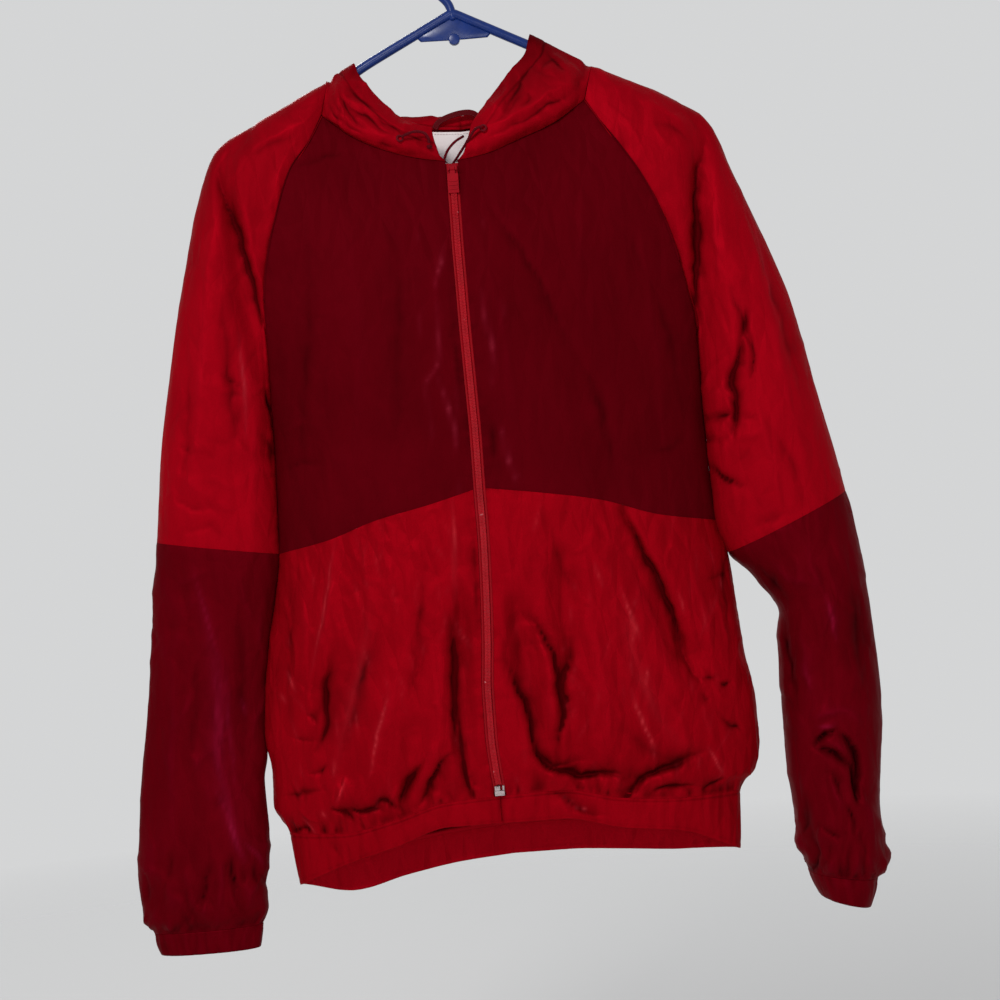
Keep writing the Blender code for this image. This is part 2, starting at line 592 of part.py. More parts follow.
def hood_grid(side, cols):
    seam = neck_seam(side)
    run = [0.0]
    for a, b in zip(seam, seam[1:]):
        run.append(run[-1] + (b - a).length)
    rows = HOOD_L if side < 0 else HOOD_R
    grid = []
    last = -1.0
    for p, s in zip(seam, run):
        t = s / run[-1]
        if s - last < 2.5 and t < 0.999:
            continue
        last = s
        mids = [Vector([rows(f"{c}{i}", t) for c in "xyz"]) for i in range(1, 6)]
        grid.append(smooth_path([p] + mids, cols))
    return trim(grid, left=2 * SEAM)


for side, tag in ((-1, "left"), (1, "right")):
    cloth(f"hood_{tag}", hood_grid(side, 10), RED, (side * 60, 8, -400))

# ------------------------------------------------------------------- hanger
ARM = [("x", "z"), (0, -66), (42, -87.5), (78, -106), (95, -116), (115, -128), (135, -138.5),
       (154, -148), (183, -163.5), (198, -172), (206, -179), (208.5, -188), (205, -198),
       (194, -205), (170, -208.5), (120, -210), (60, -210.5)]
right_half = [(x, 0, z) for x, z in ARM[2:]]
loop = [(0, 0, -66)] + right_half + [(0, 0, -210.5)] + [(-x, 0, z) for x, _, z in reversed(right_half)]
frame_path = smooth_path(loop + [loop[0]], 67)[:-1]
hanger = to_mesh(tube("hanger_frame", frame_path, 4.2, BLUE, 2, cyclic=True), "hanger")
finish(hanger, BLUE)
hook_path = smooth_path([(0, 0, -70), (-3, 0, -58), (-13, 0, -46), (-21.5, 0, -33), (-23.2, 0, -18),
                         (-16.5, 0, -2.4), (0, 0, 4.2), (16.5, 0, -2.4), (23.2, 0, -18), (21.5, 0, -29)], 30)
hook = to_mesh(tube("hanger_hook", hook_path, 3.9, BLUE, 2), "hanger_hook")
gusset_outline = [(-36, -84), (0, -64), (36, -84), (30, -90), (-30, -90)]
bm = bmesh.new()
ring = [bm.verts.new((x * MM, -0.0013, z * MM)) for x, z in gusset_outline]
face = bm.faces.new(ring)
extruded = bmesh.ops.extrude_face_region(bm, geom=[face])
bmesh.ops.translate(bm, vec=(0, 0.0026, 0), verts=[e for e in extruded["geom"]
                                                  if isinstance(e, bmesh.types.BMVert)])
bmesh.ops.recalc_face_normals(bm, faces=bm.faces)
gusset_mesh = bpy.data.meshes.new("hanger_gusset")
bm.to_mesh(gusset_mesh)
bm.free()
gusset = bpy.data.objects.new("hanger_gusset", gusset_mesh)
parts.objects.link(gusset)
boss = cylinder("hanger_boss", 5.0, 6.0, (0, 0, -90), "Y", sides=24)
boolean(hanger, hook, "UNION")
boolean(hanger, gusset, "UNION")
boolean(hanger, boss, "UNION")

# ---------------------------------------------------------------------- zip
def zip_row(v, offsets, y_off):
    c = body_front(v, 0.0, folds=False)
    return [Vector((c.x + o, c.y + y_off, c.z)) for o in offsets]


def level_at(z):
    """Level on the zip line whose height is z."""
    lo, hi = 0.0, 17.0
    for _ in range(40):
        mid = (lo + hi) / 2
        if FRONT("c", mid) > z:
            lo = mid
        else:
            hi = mid
    return (lo + hi) / 2


ZIP_TOP, ZIP_LOW = -205.0, -755.5
tape_levels = [level_at(ZIP_TOP + (ZIP_LOW - 8 - ZIP_TOP) * i / 26) for i in range(27)]
for side, tag in ((-1, "left"), (1, "right")):
    offs = [side * o for o in (0.3, 6.0, 11.5)]
    grid = [zip_row(v, offs, WALL + 0.9) for v in tape_levels]
    cloth(f"zip_tape_{tag}", grid, RED_ZIP, (0, 600, -480), wall=0.8)
chain_levels = [level_at(-218.6 + (ZIP_LOW + 218.6) * i / 30) for i in range(31)]
grid = [zip_row(v, (-2.6, -1.4, 1.4, 2.6), 0.2) for v in chain_levels]
for row in grid:
    row[1].y -= 0.7
    row[2].y -= 0.7
cloth("zip_chain", grid, RED_ZIP, (0, 600, -480), wall=1.2)

zx = FRONT("xz", 0)
zy = body_front(level_at(-212), 0.0, folds=False).y
pin = (zx, zy - 5.4, -211.0)
slider = box("zip_slider", (9.0, 3.6, 11.5), (zx, zy - 1.2, -212.3), RED_ZIP, bevel=0.9)
for i, ex in enumerate((-3.3, 3.3)):
    ear = box(f"slider_ear_{i}", (1.3, 5.4, 3.2), (zx + ex, zy - 4.3, -211.0))
    boolean(slider, ear, "UNION")
pin_ob = cylinder("slider_pin", 0.85, 7.4, pin, "X", sides=20)
boolean(slider, pin_ob, "UNION")

# The pull swings on the slider's pin: its origin is on that axis.
pull = box("zip_pull", (9.4, 1.6, 17.0), (0, 0, -13.2), RED_ZIP)
pull.data.transform(Matrix.Translation(pull.location))
pull.location = Vector(pin) * MM
head = box("pull_head", (4.4, 1.6, 6.0), (pin[0], pin[1], pin[2] - 3.4))
eye = cylinder("pull_eye", 2.1, 4.4, pin, "X", sides=24)
bore = cylinder("pull_bore", 1.2, 12.0, pin, "X", sides=24)
ridges = [box(f"pull_ridge_{i}", (7.4, 0.8, 1.4), (pin[0], pin[1] - 1.0, pin[2] - d))
          for i, d in enumerate((11.0, 14.5, 18.0))]
boolean(pull, head, "UNION")
boolean(pull, eye, "UNION")
for r in ridges:
    boolean(pull, r, "UNION")
boolean(pull, bore, "DIFFERENCE")

by = body_front(level_at(-760), 0.0, folds=False).y
box("zip_box", (9.6, 3.4, 9.6), (FRONT("xz", level_at(-760)), by - 0.9, -760.6), SILVER, bevel=0.8)

# ---------------------------------------------------- label, loop and cords
label_rows = []
for i in range(6):
    v = 0.06 + i * 0.2
    label_rows.append([body_back(v, x / 100.0) + Vector((0, -WALL - 0.6, -1.5))
                       for x in (-26, -13, 0, 13, 26)])
cloth("neck_label", label_rows, LABEL, (0, -300, -190), wall=0.5)

loop_line = smooth_path([(-20, 10.2, -168), (-17, 9.8, -160), (-9, 9.4, -153.6), (2, 9.4, -151.2),
                         (11, 9.6, -153.4), (17, 10, -160), (19, 10.4, -168)], 22)
loop_grid = []
for i, p in enumerate(loop_line):
    a, b = loop_line[max(i - 1, 0)], loop_line[min(i + 1, len(loop_line) - 1)]
    across_dir = (b - a).cross(Vector((0, 1, 0))).normalized()
    loop_grid.append([p + across_dir * o for o in (-2.6, 0.0, 2.6)])
cloth("hang_loop", loop_grid, LOOP, (0, 300, -160), wall=0.9)


def eyelet(name, centre, normal):
    """Stitched eyelet: a flat ring with its hole along the normal."""
    prof = bpy.data.meshes.new(name)
    bm = bmesh.new()
    corners = [(1.9, -0.45), (3.4, -0.45), (3.4, 0.25), (2.9, 0.45), (1.9, 0.45)]
    vs = [bm.verts.new((r * MM, 0, z * MM)) for r, z in corners]
    for a, b in zip(vs, vs[1:] + vs[:1]):
        bm.edges.new((a, b))
    bm.to_mesh(prof)
    bm.free()
    ob = link(name, prof, CORD)
    mod = ob.modifiers.new("turn", "SCREW")
    mod.steps = mod.render_steps = 20
    mod.merge_threshold = 0.00001
    mod.use_merge_vertices = True
    mod.use_normal_flip = True
    ob.location = Vector(centre) * MM
    ob.rotation_euler = Vector(normal).to_track_quat("Z", "Y").to_euler()
    return ob


CORD_R = 1.2
eyelet("cord_eyelet_right", (20, -33.2, -177.5), (-0.15, -1, 0.25))
eyelet("cord_eyelet_left", (-54, -34.4, -181.5), (0.2, -1, 0.25))
right_path = [(18.6, -35.6, -176.6), (13, -35.2, -178.5), (7.5, -32, -184.5), (2, -24, -191),
              (-4, -18, -198), (-10, -16.5, -206), (-13.5, -15.5, -216), (-17.5, -15.5, -220.5),
              (-20.5, -15.5, -214), (-17.4, -16.5, -203), (-13.4, -17.5, -193), (-6, -20, -185.6),
              (2, -26.5, -182.4)]
tube("drawcord_right", smooth_path(right_path, 48), CORD_R, CORD, 2)
left_path = [(-52.4, -36.8, -181.0), (-47.5, -37.6, -179), (-40, -37.0, -177.2), (-33, -35.6, -178.4),
             (-29.2, -34.2, -182.5), (-28.6, -33, -187.5)]
tube("drawcord_left", smooth_path(left_path, 16), CORD_R, CORD, 2)
knot = bpy.data.meshes.new("cord_knot_left")
bm = bmesh.new()
bmesh.ops.create_uvsphere(bm, u_segments=14, v_segments=8, radius=2.3 * MM)
bmesh.ops.scale(bm, vec=(0.9, 0.85, 1.15), verts=bm.verts)
bm.to_mesh(knot)
bm.free()
knot_ob = link("cord_knot_left", knot, CORD)
knot_ob.location = Vector((-28.5, -32.6, -190.5)) * MM
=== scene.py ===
"""Looks of a hooded windbreaker hanging on its tubular hanger.

Each cloth panel is a thin shell laid through the same sections as its solid,
with its creases pressed into it; lengths in the tables are millimetres.
"""
import math
import random

import bmesh
import bpy
import numpy as np
from mathutils import Matrix, Vector


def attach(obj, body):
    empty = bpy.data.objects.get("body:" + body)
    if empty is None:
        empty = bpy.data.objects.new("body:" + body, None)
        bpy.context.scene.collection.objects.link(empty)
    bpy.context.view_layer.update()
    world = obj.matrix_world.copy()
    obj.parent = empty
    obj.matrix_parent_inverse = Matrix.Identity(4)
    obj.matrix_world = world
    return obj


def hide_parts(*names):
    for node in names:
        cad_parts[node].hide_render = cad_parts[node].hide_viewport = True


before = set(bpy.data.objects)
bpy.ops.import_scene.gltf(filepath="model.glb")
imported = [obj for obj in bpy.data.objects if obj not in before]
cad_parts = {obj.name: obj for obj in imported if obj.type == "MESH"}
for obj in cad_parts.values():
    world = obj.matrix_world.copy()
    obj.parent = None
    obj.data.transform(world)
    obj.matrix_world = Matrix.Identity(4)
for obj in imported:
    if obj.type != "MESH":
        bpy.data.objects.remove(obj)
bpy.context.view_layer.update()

MM = 0.001
SEAM = 0.12
ZIP_HALF = 5.5
GARMENT, PULL = "garment", "pull_tab"
FINE = 1.0

# ------------------------------------------------------------------- camera
AIM = (10.8, -506.2)          # what the middle of the picture looks at, X and Z
AWAY = 1700.0                 # from the lens to the plane of the hanger
PICTURE = 900.0               # millimetres of that plane in the picture's width
TURN = (0.9973, 0.0732)       # cosine and sine of the picture's roll

cam_data = bpy.data.cameras.new("camera")
cam_data.sensor_fit = "HORIZONTAL"
cam_data.angle = 2 * math.atan(PICTURE / 2 / AWAY)
cam_data.clip_start, cam_data.clip_end = 0.05, 20.0
camera = bpy.data.objects.new("camera", cam_data)
bpy.context.scene.collection.objects.link(camera)
right, up, back = Vector((TURN[0], 0, -TURN[1])), Vector((TURN[1], 0, TURN[0])), Vector((0, -1, 0))
turned = Matrix((right, up, back)).transposed().to_4x4()
turned.translation = Vector((AIM[0] * MM, -AWAY * MM, AIM[1] * MM))
camera.matrix_world = turned
bpy.context.scene.camera = camera


def on_photo(x, y, depth=-36.0):
    """X and Z in millimetres of a point seen at (x, y) of the picture."""
    dx, dy = x - 455.0, y - 170.0
    big_x = 0.9 * (TURN[0] * dx - TURN[1] * dy - 8.8)
    big_z = -207.0 - 0.9 * (TURN[1] * dx + TURN[0] * dy)
    s = (AWAY + depth) / AWAY
    return AIM[0] + (big_x - AIM[0]) * s, AIM[1] + (big_z - AIM[1]) * s


# ------------------------------------------------------------ interpolation
def slopes(xs, ys):
    """Monotone slopes of rows of heights ys (last axis) over xs."""
    h = np.diff(xs)
    d = np.diff(ys, axis=-1) / h
    m = np.zeros(ys.shape)
    m[..., 0], m[..., -1] = d[..., 0], d[..., -1]
    a, b = d[..., :-1], d[..., 1:]
    w1, w2 = 2 * h[1:] + h[:-1], h[1:] + 2 * h[:-1]
    same = a * b > 0
    m[..., 1:-1] = np.where(same, (w1 + w2) / (w1 / np.where(same, a, 1) + w2 / np.where(same, b, 1)), 0)
    return m


def pchip(xs, ys, x):
    """Monotone cubic through (xs, ys) at x; ys may hold one row for each row of x."""
    xs, ys, x = np.asarray(xs, float), np.asarray(ys, float), np.asarray(x, float)
    m = slopes(xs, ys)
    x = np.clip(x, xs[0], xs[-1])
    i = np.clip(np.searchsorted(xs, x, side="right") - 1, 0, len(xs) - 2)
    h = xs[i + 1] - xs[i]
    t = (x - xs[i]) / h
    if ys.ndim == 1:
        y0, y1, m0, m1 = ys[i], ys[i + 1], m[i], m[i + 1]
    else:
        y0, y1 = np.take_along_axis(ys, i, 1), np.take_along_axis(ys, i + 1, 1)
        m0, m1 = np.take_along_axis(m, i, 1), np.take_along_axis(m, i + 1, 1)
    return ((1 + 2 * t) * (1 - t) ** 2 * y0 + t * (1 - t) ** 2 * h * m0
            + t * t * (3 - 2 * t) * y1 + t * t * (t - 1) * h * m1)


class Rows:
    """A table with named columns, read between its rows."""

    def __init__(self, table, key="v"):
        head = table[0]
        data = np.array(table[1:], float)
        self.at = data[:, head.index(key)]
        self.cols = {n: data[:, i] for i, n in enumerate(head)}

    def __call__(self, name, v):
        return pchip(self.at, self.cols[name], v)


def smooth_path(points, n):
    """n points evenly along a smooth curve (Catmull-Rom) through the given ones."""
    p = np.asarray(points, float)
    p = np.vstack([2 * p[0] - p[1], p, 2 * p[-1] - p[-2]])
    t = (np.arange(24) / 24)[:, None]
    out = []
    for i in range(1, len(p) - 2):
        a, b, c, d = p[i - 1], p[i], p[i + 1], p[i + 2]
        out.append(0.5 * ((2 * b) + (c - a) * t + (2 * a - 5 * b + 4 * c - d) * t * t
                          + (3 * b - a - 3 * c + d) * t ** 3))
    out = np.vstack(out + [p[-2][None]])
    run = np.concatenate([[0], np.cumsum(np.linalg.norm(np.diff(out, axis=0), axis=1))])
    want = np.linspace(0, run[-1], n)
    return np.stack([np.interp(want, run, out[:, k]) for k in range(p.shape[1])], 1)


# ------------------------------------------------------------------- tables
FRONT = Rows([
    ("v", "xl", "xr", "xz", "yc", "yl", "yr", "k", "l4", "l3", "l2", "l1", "c", "r1", "r2", "r3", "r4"),
    (0, -123, 112, -10, -25, -16, -16, 0.00, -153, -176, -190, -199, -204, -199, -188, -176, -156),
    (1, -135, 123, -10, -31, -22, -22, 0.00, -176, -208, -225, -233, -236, -233, -224, -206, -175),
    (2, -153, 140, -10, -36, -27, -27, 0.05, -201, -238, -258, -268, -272, -268, -257, -236, -201),
    (3, -168, 158, -9.5, -39, -30, -30, 0.10, -242, -275, -295, -306, -310, -305, -293, -270, -232),
    (4, -179, 174, -9, -41, -29, -29, 0.20, -281, -313, -333, -344, -348, -343, -330, -307, -270),
    (5, -185, 187, -8, -42, -25, -25, 0.40, -325, -353, -372, -382, -386, -381, -369, -348, -317),
    (6, -186, 196, -7, -43, -17, -17, 0.65, -370, -395, -412, -420, -424, -419, -409, -390, -362),
    (7, -187, 197.5, -6.5, -43, -8, -8, 0.88, -412, -430, -441, -446, -448, -445, -439, -427, -408),
    (8, -188, 199, -6.5, -44, 0, 0, 1.00, -452, -464, -469, -470, -470, -469, -467, -462, -452),
    (9, -191, 203, -6.5, -44, 0, 0, 1.00, -540, -531, -516, -506, -494, -502, -512, -529, -538),
    (10, -197, 212, -6, -45, 0, 0, 1.00, -578, -565, -552, -542, -535, -541, -550, -560, -568),
    (11, -207, 216, -7, -46, 0, 0, 1.00, -625, -610, -596, -587, -580, -586, -594, -603, -612),
    (12, -213, 220, -9, -47, 0, 0, 1.00, -668, -655, -642, -633, -628, -632, -640, -648, -656),
    (13, -215.5, 227, -12, -48, 0, 0, 1.00, -704, -694, -684, -678, -675, -677, -684, -692, -700),
    (14, -211, 228, -12, -48, 0, 0, 1.00, -735, -727, -718, -712, -710, -712, -719, -728, -736),
    (15, -212, 223, -10, -46, 0, 0, 1.00, -765, -763, -753, -743, -742, -741, -750, -760, -762),
    (16, -200, 208, -8, -39, 0, 0, 1.00, -790, -791, -782, -769, -766, -765, -776, -781, -781),
    (17, -194, 204, -8, -35, 0, 0, 1.00, -838, -819, -805, -791, -791, -791, -803, -811, -834),
])

BACK = Rows([
    ("v", "xl", "xr", "yc", "yl", "yr", "k", "l4", "l3", "l2", "l1", "c", "r1", "r2", "r3", "r4"),
    (0, -104, 96, 15, 9, 9, 0.00, -140, -152, -160, -165, -167, -165, -160, -153, -143),
    (1, -126, 117, 18, 14, 14, 0.00, -172, -188, -198, -204, -206, -204, -198, -188, -172),
    (2, -150, 138, 20, 17, 17, 0.05, -201, -224, -238, -244, -246, -244, -238, -223, -200),
    (3, -168, 158, 22, 19, 19, 0.10, -242, -264, -278, -285, -288, -285, -276, -260, -232),
    (4, -179, 174, 24, 18, 18, 0.20, -281, -304, -318, -325, -328, -325, -316, -299, -270),
    (5, -185, 187, 25, 15, 15, 0.40, -325, -346, -358, -365, -368, -365, -356, -342, -317),
    (6, -186, 196, 25, 10, 10, 0.65, -370, -388, -399, -405, -408, -405, -397, -384, -362),
    (7, -187, 197.5, 25, 5, 5, 0.88, -412, -424, -431, -434, -436, -434, -430, -423, -408),
    (8, -188, 199, 25, 0, 0, 1.00, -452, -458, -461, -462, -462, -462, -461, -458, -452),
    (9, -191, 203, 26, 0, 0, 1.00, -540, -528, -516, -505, -500, -504, -514, -526, -538),
    (10, -197, 212, 27, 0, 0, 1.00, -578, -566, -555, -546, -541, -545, -553, -562, -568),
    (11, -207, 216, 27, 0, 0, 1.00, -625, -612, -600, -591, -586, -590, -597, -605, -612),
    (12, -213, 220, 27, 0, 0, 1.00, -668, -659, -648, -640, -635, -639, -645, -651, -656),
    (13, -215.5, 227, 27, 0, 0, 1.00, -704, -700, -692, -685, -682, -684, -689, -695, -700),
    (14, -211, 228, 27, 0, 0, 1.00, -735, -735, -729, -723, -720, -722, -727, -732, -736),
    (15, -212, 223, 27, 0, 0, 1.00, -765, -773, -771, -767, -765, -765, -767, -767, -762),
    (16, -200, 208, 23, 0, 0, 1.00, -790, -822, -811, -804, -800, -800, -803, -803, -781),
    (17, -194, 204, 22, 0, 0, 1.00, -838, -850, -840, -832, -828, -828, -831, -834, -834),
])

SLEEVE_L = Rows([
    ("v", "xi", "zi", "xo", "zo", "yf", "yb", "vs", "vd"),
    (0, -123, -153, -115, -119.6, -17, 13, 0.95, 0),
    (1, -135, -176, -146, -134.5, -22, 15, 0.95, 0),
    (2, -153, -201, -184, -153.5, -27, 18, 0.92, 1),
    (3, -168, -242, -222, -177, -31, 21, 0.80, 4),
    (4, -179, -281, -241, -222, -33, 23, 0.45, 9),
    (5, -185, -325, -256, -278, -32, 23, 0.24, 9),
    (6, -186, -370, -270, -338, -30, 22, 0.12, 4),
    (7, -188, -412, -280, -388, -29, 22, 0.10, 0),
    (8, -190.5, -454, -289, -436, -28, 21, 0.1, 0),
    (9, -194, -500, -295, -482, -27, 20, 0.1, 0),
    (10, -196, -540, -300, -522, -26, 20, 0.1, 0),
    (11, -203, -590, -308, -578, -23, 18, 0.1, 0),
    (12, -212, -640, -314, -634, -20, 16, 0.1, 0),
    (13, -219, -690, -322, -690, -18, 15, 0.1, 0),
    (14, -219, -735, -330, -738, -18, 15, 0.1, 0),
    (15, -217.5, -775, -335, -785, -20, 16, 0.1, 0),
    (16, -220, -822, -338, -828, -22, 17, 0.1, 0),
    (17, -224, -856, -336, -858, -21, 17, 0.1, 0),
    (18, -229, -870, -328, -872, -15, 12, 0.1, 0),
    (19, -231, -880, -326, -882, -14, 12, 0.1, 0),
    (20, -233, -891, -323, -892, -14, 11, 0.1, 0),
])
SLEEVE_R = Rows([
    ("v", "xi", "zi", "xo", "zo", "yf", "yb", "vs", "vd"),
    (0, 112, -156, 121, -123, -17, 13, 0.95, 0),
    (1, 123, -175, 152, -137.5, -22, 15, 0.95, 0),
    (2, 140, -201, 186, -154.5, -27, 18, 0.92, 1),
    (3, 158, -232, 222, -181, -31, 21, 0.82, 4),
    (4, 174, -270, 240, -226, -34, 23, 0.50, 9),
    (5, 187, -317, 262, -282, -35, 24, 0.26, 10),
    (6, 196, -362, 282, -338, -36, 25, 0.12, 6),
    (7, 199.5, -408, 294, -390, -37, 26, 0.1, 2),
    (8, 202.5, -454, 305, -444, -37, 26, 0.1, 0),
    (9, 207, -508, 314, -484, -37, 26, 0.1, 0),
    (10, 218, -568, 321, -520, -36, 26, 0.1, 0),
    (11, 237, -598, 330, -570, -37, 27, 0.1, 0),
    (12, 253, -626, 334, -612, -37, 28, 0.1, 0),
    (13, 250, -665, 338, -662, -34, 28, 0.1, 0),
    (14, 249, -704, 340, -712, -34, 28, 0.1, 0),
    (15, 251, -767, 335, -764, -35, 29, 0.1, 0),
    (16, 256, -816, 331, -806, -37, 30, 0.1, 0),
    (17, 259, -846, 334, -846, -36, 30, 0.1, 0),
    (18, 263, -858, 325, -868, -31, 27, 0.1, 0),
    (19, 267, -869, 322, -879, -31, 27, 0.1, 0),
    (20, 272, -881, 317, -893, -31, 27, 0.1, 0),
])

FOLDS = [
    ("ax", "az", "bx", "bz", "width", "depth"),
    (88, -395, 118, -560, 12, 2.5),
    (118, -560, 172, -668, 13, 7),
    (-27, -590, -22, -745, 11, 5),
    (18, -600, 38, -735, 11, 6),
    (63, -560, 62, -745, 11, 5),
    (-122, -690, -146, -745, 11, 4),
    (-76, -700, -92, -760, 11, 5),
]

HOOD_HEAD = ("t", "x1", "y1", "z1", "x2", "y2", "z2", "x3", "y3", "z3",
             "x4", "y4", "z4", "x5", "y5", "z5")
HOOD_L = Rows([
    HOOD_HEAD,
    (0.00, -20, -27.5, -198, -22, -28, -191, -24, -27.5, -184, -25, -26, -178, -25.5, -24, -172),
    (0.16, -55, -31, -188, -53, -32.5, -182, -50.5, -30, -176, -48, -26, -170, -45, -20, -165),
    (0.44, -118, -21, -149, -110, -24, -143, -100, -22, -136, -91, -16, -130, -83, -9, -124),
    (0.51, -114, -15, -132, -107, -16, -127, -101, -14, -122, -95, -11, -117, -89, -6.5, -113),
    (0.545, -112, -8, -123, -106, -9, -119, -101, -8.5, -115.5, -95.5, -7.5, -112, -90.5, -5.8, -107),
    (0.575, -110, -1, -115.6, -105, -1.5, -112.4, -101, -1, -110, -96, 0, -107.2, -92, 1, -105),
    (0.66, -100, 12, -134, -98, 16, -140, -98, 22, -152, -92, 27, -143, -83, 25, -126),
    (0.73, -78, 17.5, -146, -84, 24, -178, -90, 33, -222, -82, 42, -190, -66, 41, -150),
    (0.82, -51, 21, -157, -60, 28.5, -215, -68, 40, -298, -60, 52, -245, -45, 54, -182),
    (0.92, -23, 22, -158, -27, 29, -242, -31, 42, -346, -26, 56, -284, -20, 58.5, -206),
    (1.00, -0.5, 22, -158.5, -0.5, 29, -250, -0.5, 42, -356, -0.5, 57, -294, -0.5, 59.5, -212),
], key="t")
HOOD_R = Rows([
    HOOD_HEAD,
    (0.00, 0.5, -27.5, -198, 3.5, -28, -191, 6, -27.5, -184, 8, -26, -178, 9.5, -24, -172),
    (0.16, 45, -32, -184, 40, -33.5, -176, 34, -31, -168, 28, -26, -161, 21, -19, -157),
    (0.44, 107, -22, -150, 97, -25, -142, 83, -23, -133, 68, -17, -127, 50, -9, -122),
    (0.51, 112, -15, -134, 102, -17, -127, 90, -15, -118, 78, -11, -111, 63, -6.5, -107),
    (0.545, 114, -8, -125.5, 103, -9, -119.5, 91.5, -8.5, -111.5, 79, -7.5, -104, 66, -5.8, -96.5),
    (0.575, 115, -1, -118.2, 104, -2, -112, 93, -1.5, -105.6, 80, -1, -97.2, 68, 1, -90),
    (0.66, 92, 12, -135, 90, 16, -138, 89, 22, -148, 80, 27, -136, 66, 25, -117),
    (0.73, 72, 17.5, -146, 78, 24, -178, 84, 33, -222, 76, 42, -188, 59, 41, -143),
    (0.82, 47, 21, -156, 56, 28.5, -215, 64, 40, -298, 56, 52, -243, 42, 54, -178),
    (0.92, 23, 22, -158, 26, 29, -242, 30, 42, -346, 25, 56, -284, 19, 58.5, -205),
    (1.00, 0.5, 22, -158.5, 0.5, 29, -250, 0.5, 42, -356, 0.5, 57, -294, 0.5, 59.5, -212),
], key="t")

ARM = [("x", "z"), (0, -66), (42, -87.5), (78, -106), (95, -116), (115, -128), (135, -138.5),
       (154, -148), (183, -163.5), (198, -172), (206, -179), (208.5, -188), (205, -198),
       (194, -205), (170, -208.5), (120, -210), (60, -210.5)]


# ----------------------------------------------------------------- surfaces
def fold_depth(x, z):
    """Sum of the large folds at points of the front, positive inwards."""
    total = np.zeros(np.shape(x))
    for ax, az, bx, bz, width, depth in FOLDS[1:]:
        dx, dz = bx - ax, bz - az
        t = ((x - ax) * dx + (z - az) * dz) / (dx * dx + dz * dz)
        tc = np.clip(t, 0, 1)
        d = np.hypot(x - ax - tc * dx, z - az - tc * dz)
        ends = np.clip((t + 0.25) / 0.35, 0, 1) * np.clip((1.2 - t) / 0.3, 0, 1)
        total += depth * ends * np.exp(-(d / width) ** 2)
    return total


def across(rows, v, u):
    """Heights of body levels v at signed fractions u (a row for each level)."""
    heights = {s: np.stack([rows(n, v) for n in names], 1)
               for s, names in ((1, ("c", "r1", "r2", "r3", "r4")), (-1, ("c", "l1", "l2", "l3", "l4")))}
    x = np.abs(u)
    k = [0, 0.25, 0.5, 0.75, 1]
    return np.where(u >= 0, pchip(k, heights[1], x), pchip(k, heights[-1], x))


def body(v, u, front=True):
    """Points (levels, stations, 3) of the front or the back of the body."""
    rows = FRONT if front else BACK
    v = np.asarray(v, float)
    u = np.broadcast_to(u, (len(v), np.shape(u)[-1]))
    a = np.abs(u)
    pick = lambda r, l: np.where(u >= 0, rows(r, v)[:, None], rows(l, v)[:, None])
    edge, ye = pick("xr", "xl"), pick("yr", "yl")
    k, yc = rows("k", v)[:, None], rows("yc", v)[:, None]
    xz = FRONT("xz", v)[:, None] if front else 0.0
    x = xz + (edge - xz) * a
    z = across(rows, v, u)
    y = ye + (yc - ye) * ((1 - k) * (1 - a * a) + k * np.sqrt(np.clip(1 - a ** 2.5, 0, None)))
    if front:
        fade = np.clip((1 - a) / 0.12, 0, 1) * np.clip((16 - v[:, None]) / 0.6, 0, 1)
        fade = fade * np.clip((np.abs(x - xz) - 13) / 8, 0, 1) * (v[:, None] > 4)
        y = y + fold_depth(x, z) * fade
    return np.stack([x, y, z], -1)


def sleeve(side, v, w):
    """Points of a sleeve: w is 0 at the front seam or inner edge, 1 on the
    outer edge, 2 at the back seam or inner edge again."""
    rows = SLEEVE_L if side < 0 else SLEEVE_R
    inner, depth, zcol = ("xl", "yl", "l4") if side < 0 else ("xr", "yr", "r4")
    v = np.asarray(v, float)
    w = np.broadcast_to(w, (len(v), np.shape(w)[-1]))
    front = w <= 1
    s = np.where(front, w, 2 - w)
    col = lambda name, r=rows: r(name, v)[:, None]
    k = np.where(v < 8, FRONT("k", v), 1.0)[:, None]
    f = np.clip(v - 7, 0, 1)[:, None]
    src = {}
    for name, c, own in (("x", inner, "xi"), ("z", zcol, "zi")):
        joint = np.where(front, col(c, FRONT), col(c, BACK))
        at8 = np.where(front, FRONT(c, 8.0), BACK(c, 8.0))
        handed = joint + np.where(f > 0, f * (rows(own, 8.0) - at8), 0)
        src[name] = np.where(v[:, None] < 8, handed, col(own))
    yi = np.where(v[:, None] < 8, np.where(front, col(depth, FRONT), col(depth, BACK)), 0.0)
    bulge = np.where(front, col("yf"), col("yb"))
    x = src["x"] + (col("xo") - src["x"]) * s
    z = src["z"] + (col("zo") - src["z"]) * s
    over = np.sqrt(np.clip(1 - s ** 3.5, 0, None))
    lens = np.sqrt(np.clip(1 - np.abs(2 * s - 1) ** 2.3, 0, None))
    swell = (bulge - yi) * (1 - k) * 0.35 * np.sin(np.pi * np.minimum(s / 0.9, 1.0)) ** 2
    y = (1 - k) * yi * over + k * bulge * lens + swell
    fade = np.clip((1 - s) / 0.15, 0, 1) * np.clip(s / 0.05, 0, 1)
    y = y + np.where(front, col("vd") * fade * np.exp(-((s - col("vs")) / 0.16) ** 2), 0)
    return np.stack([x, y, z], -1)


def eased(n):
    """n + 1 fractions from 0 to 1, close together at both ends."""
    return (1 - np.cos(np.linspace(0, np.pi, n + 1))) / 2


def round_edge(n, lo):
    """Fractions from lo to 1 (lo may be a column), closer near the rounded edge."""
    q = np.sin(np.linspace(0, 1, n + 1) * np.pi / 2) ** 0.9
    q[-2] = (q[-2] + 2) / 3
    return lo + (1 - lo) * q


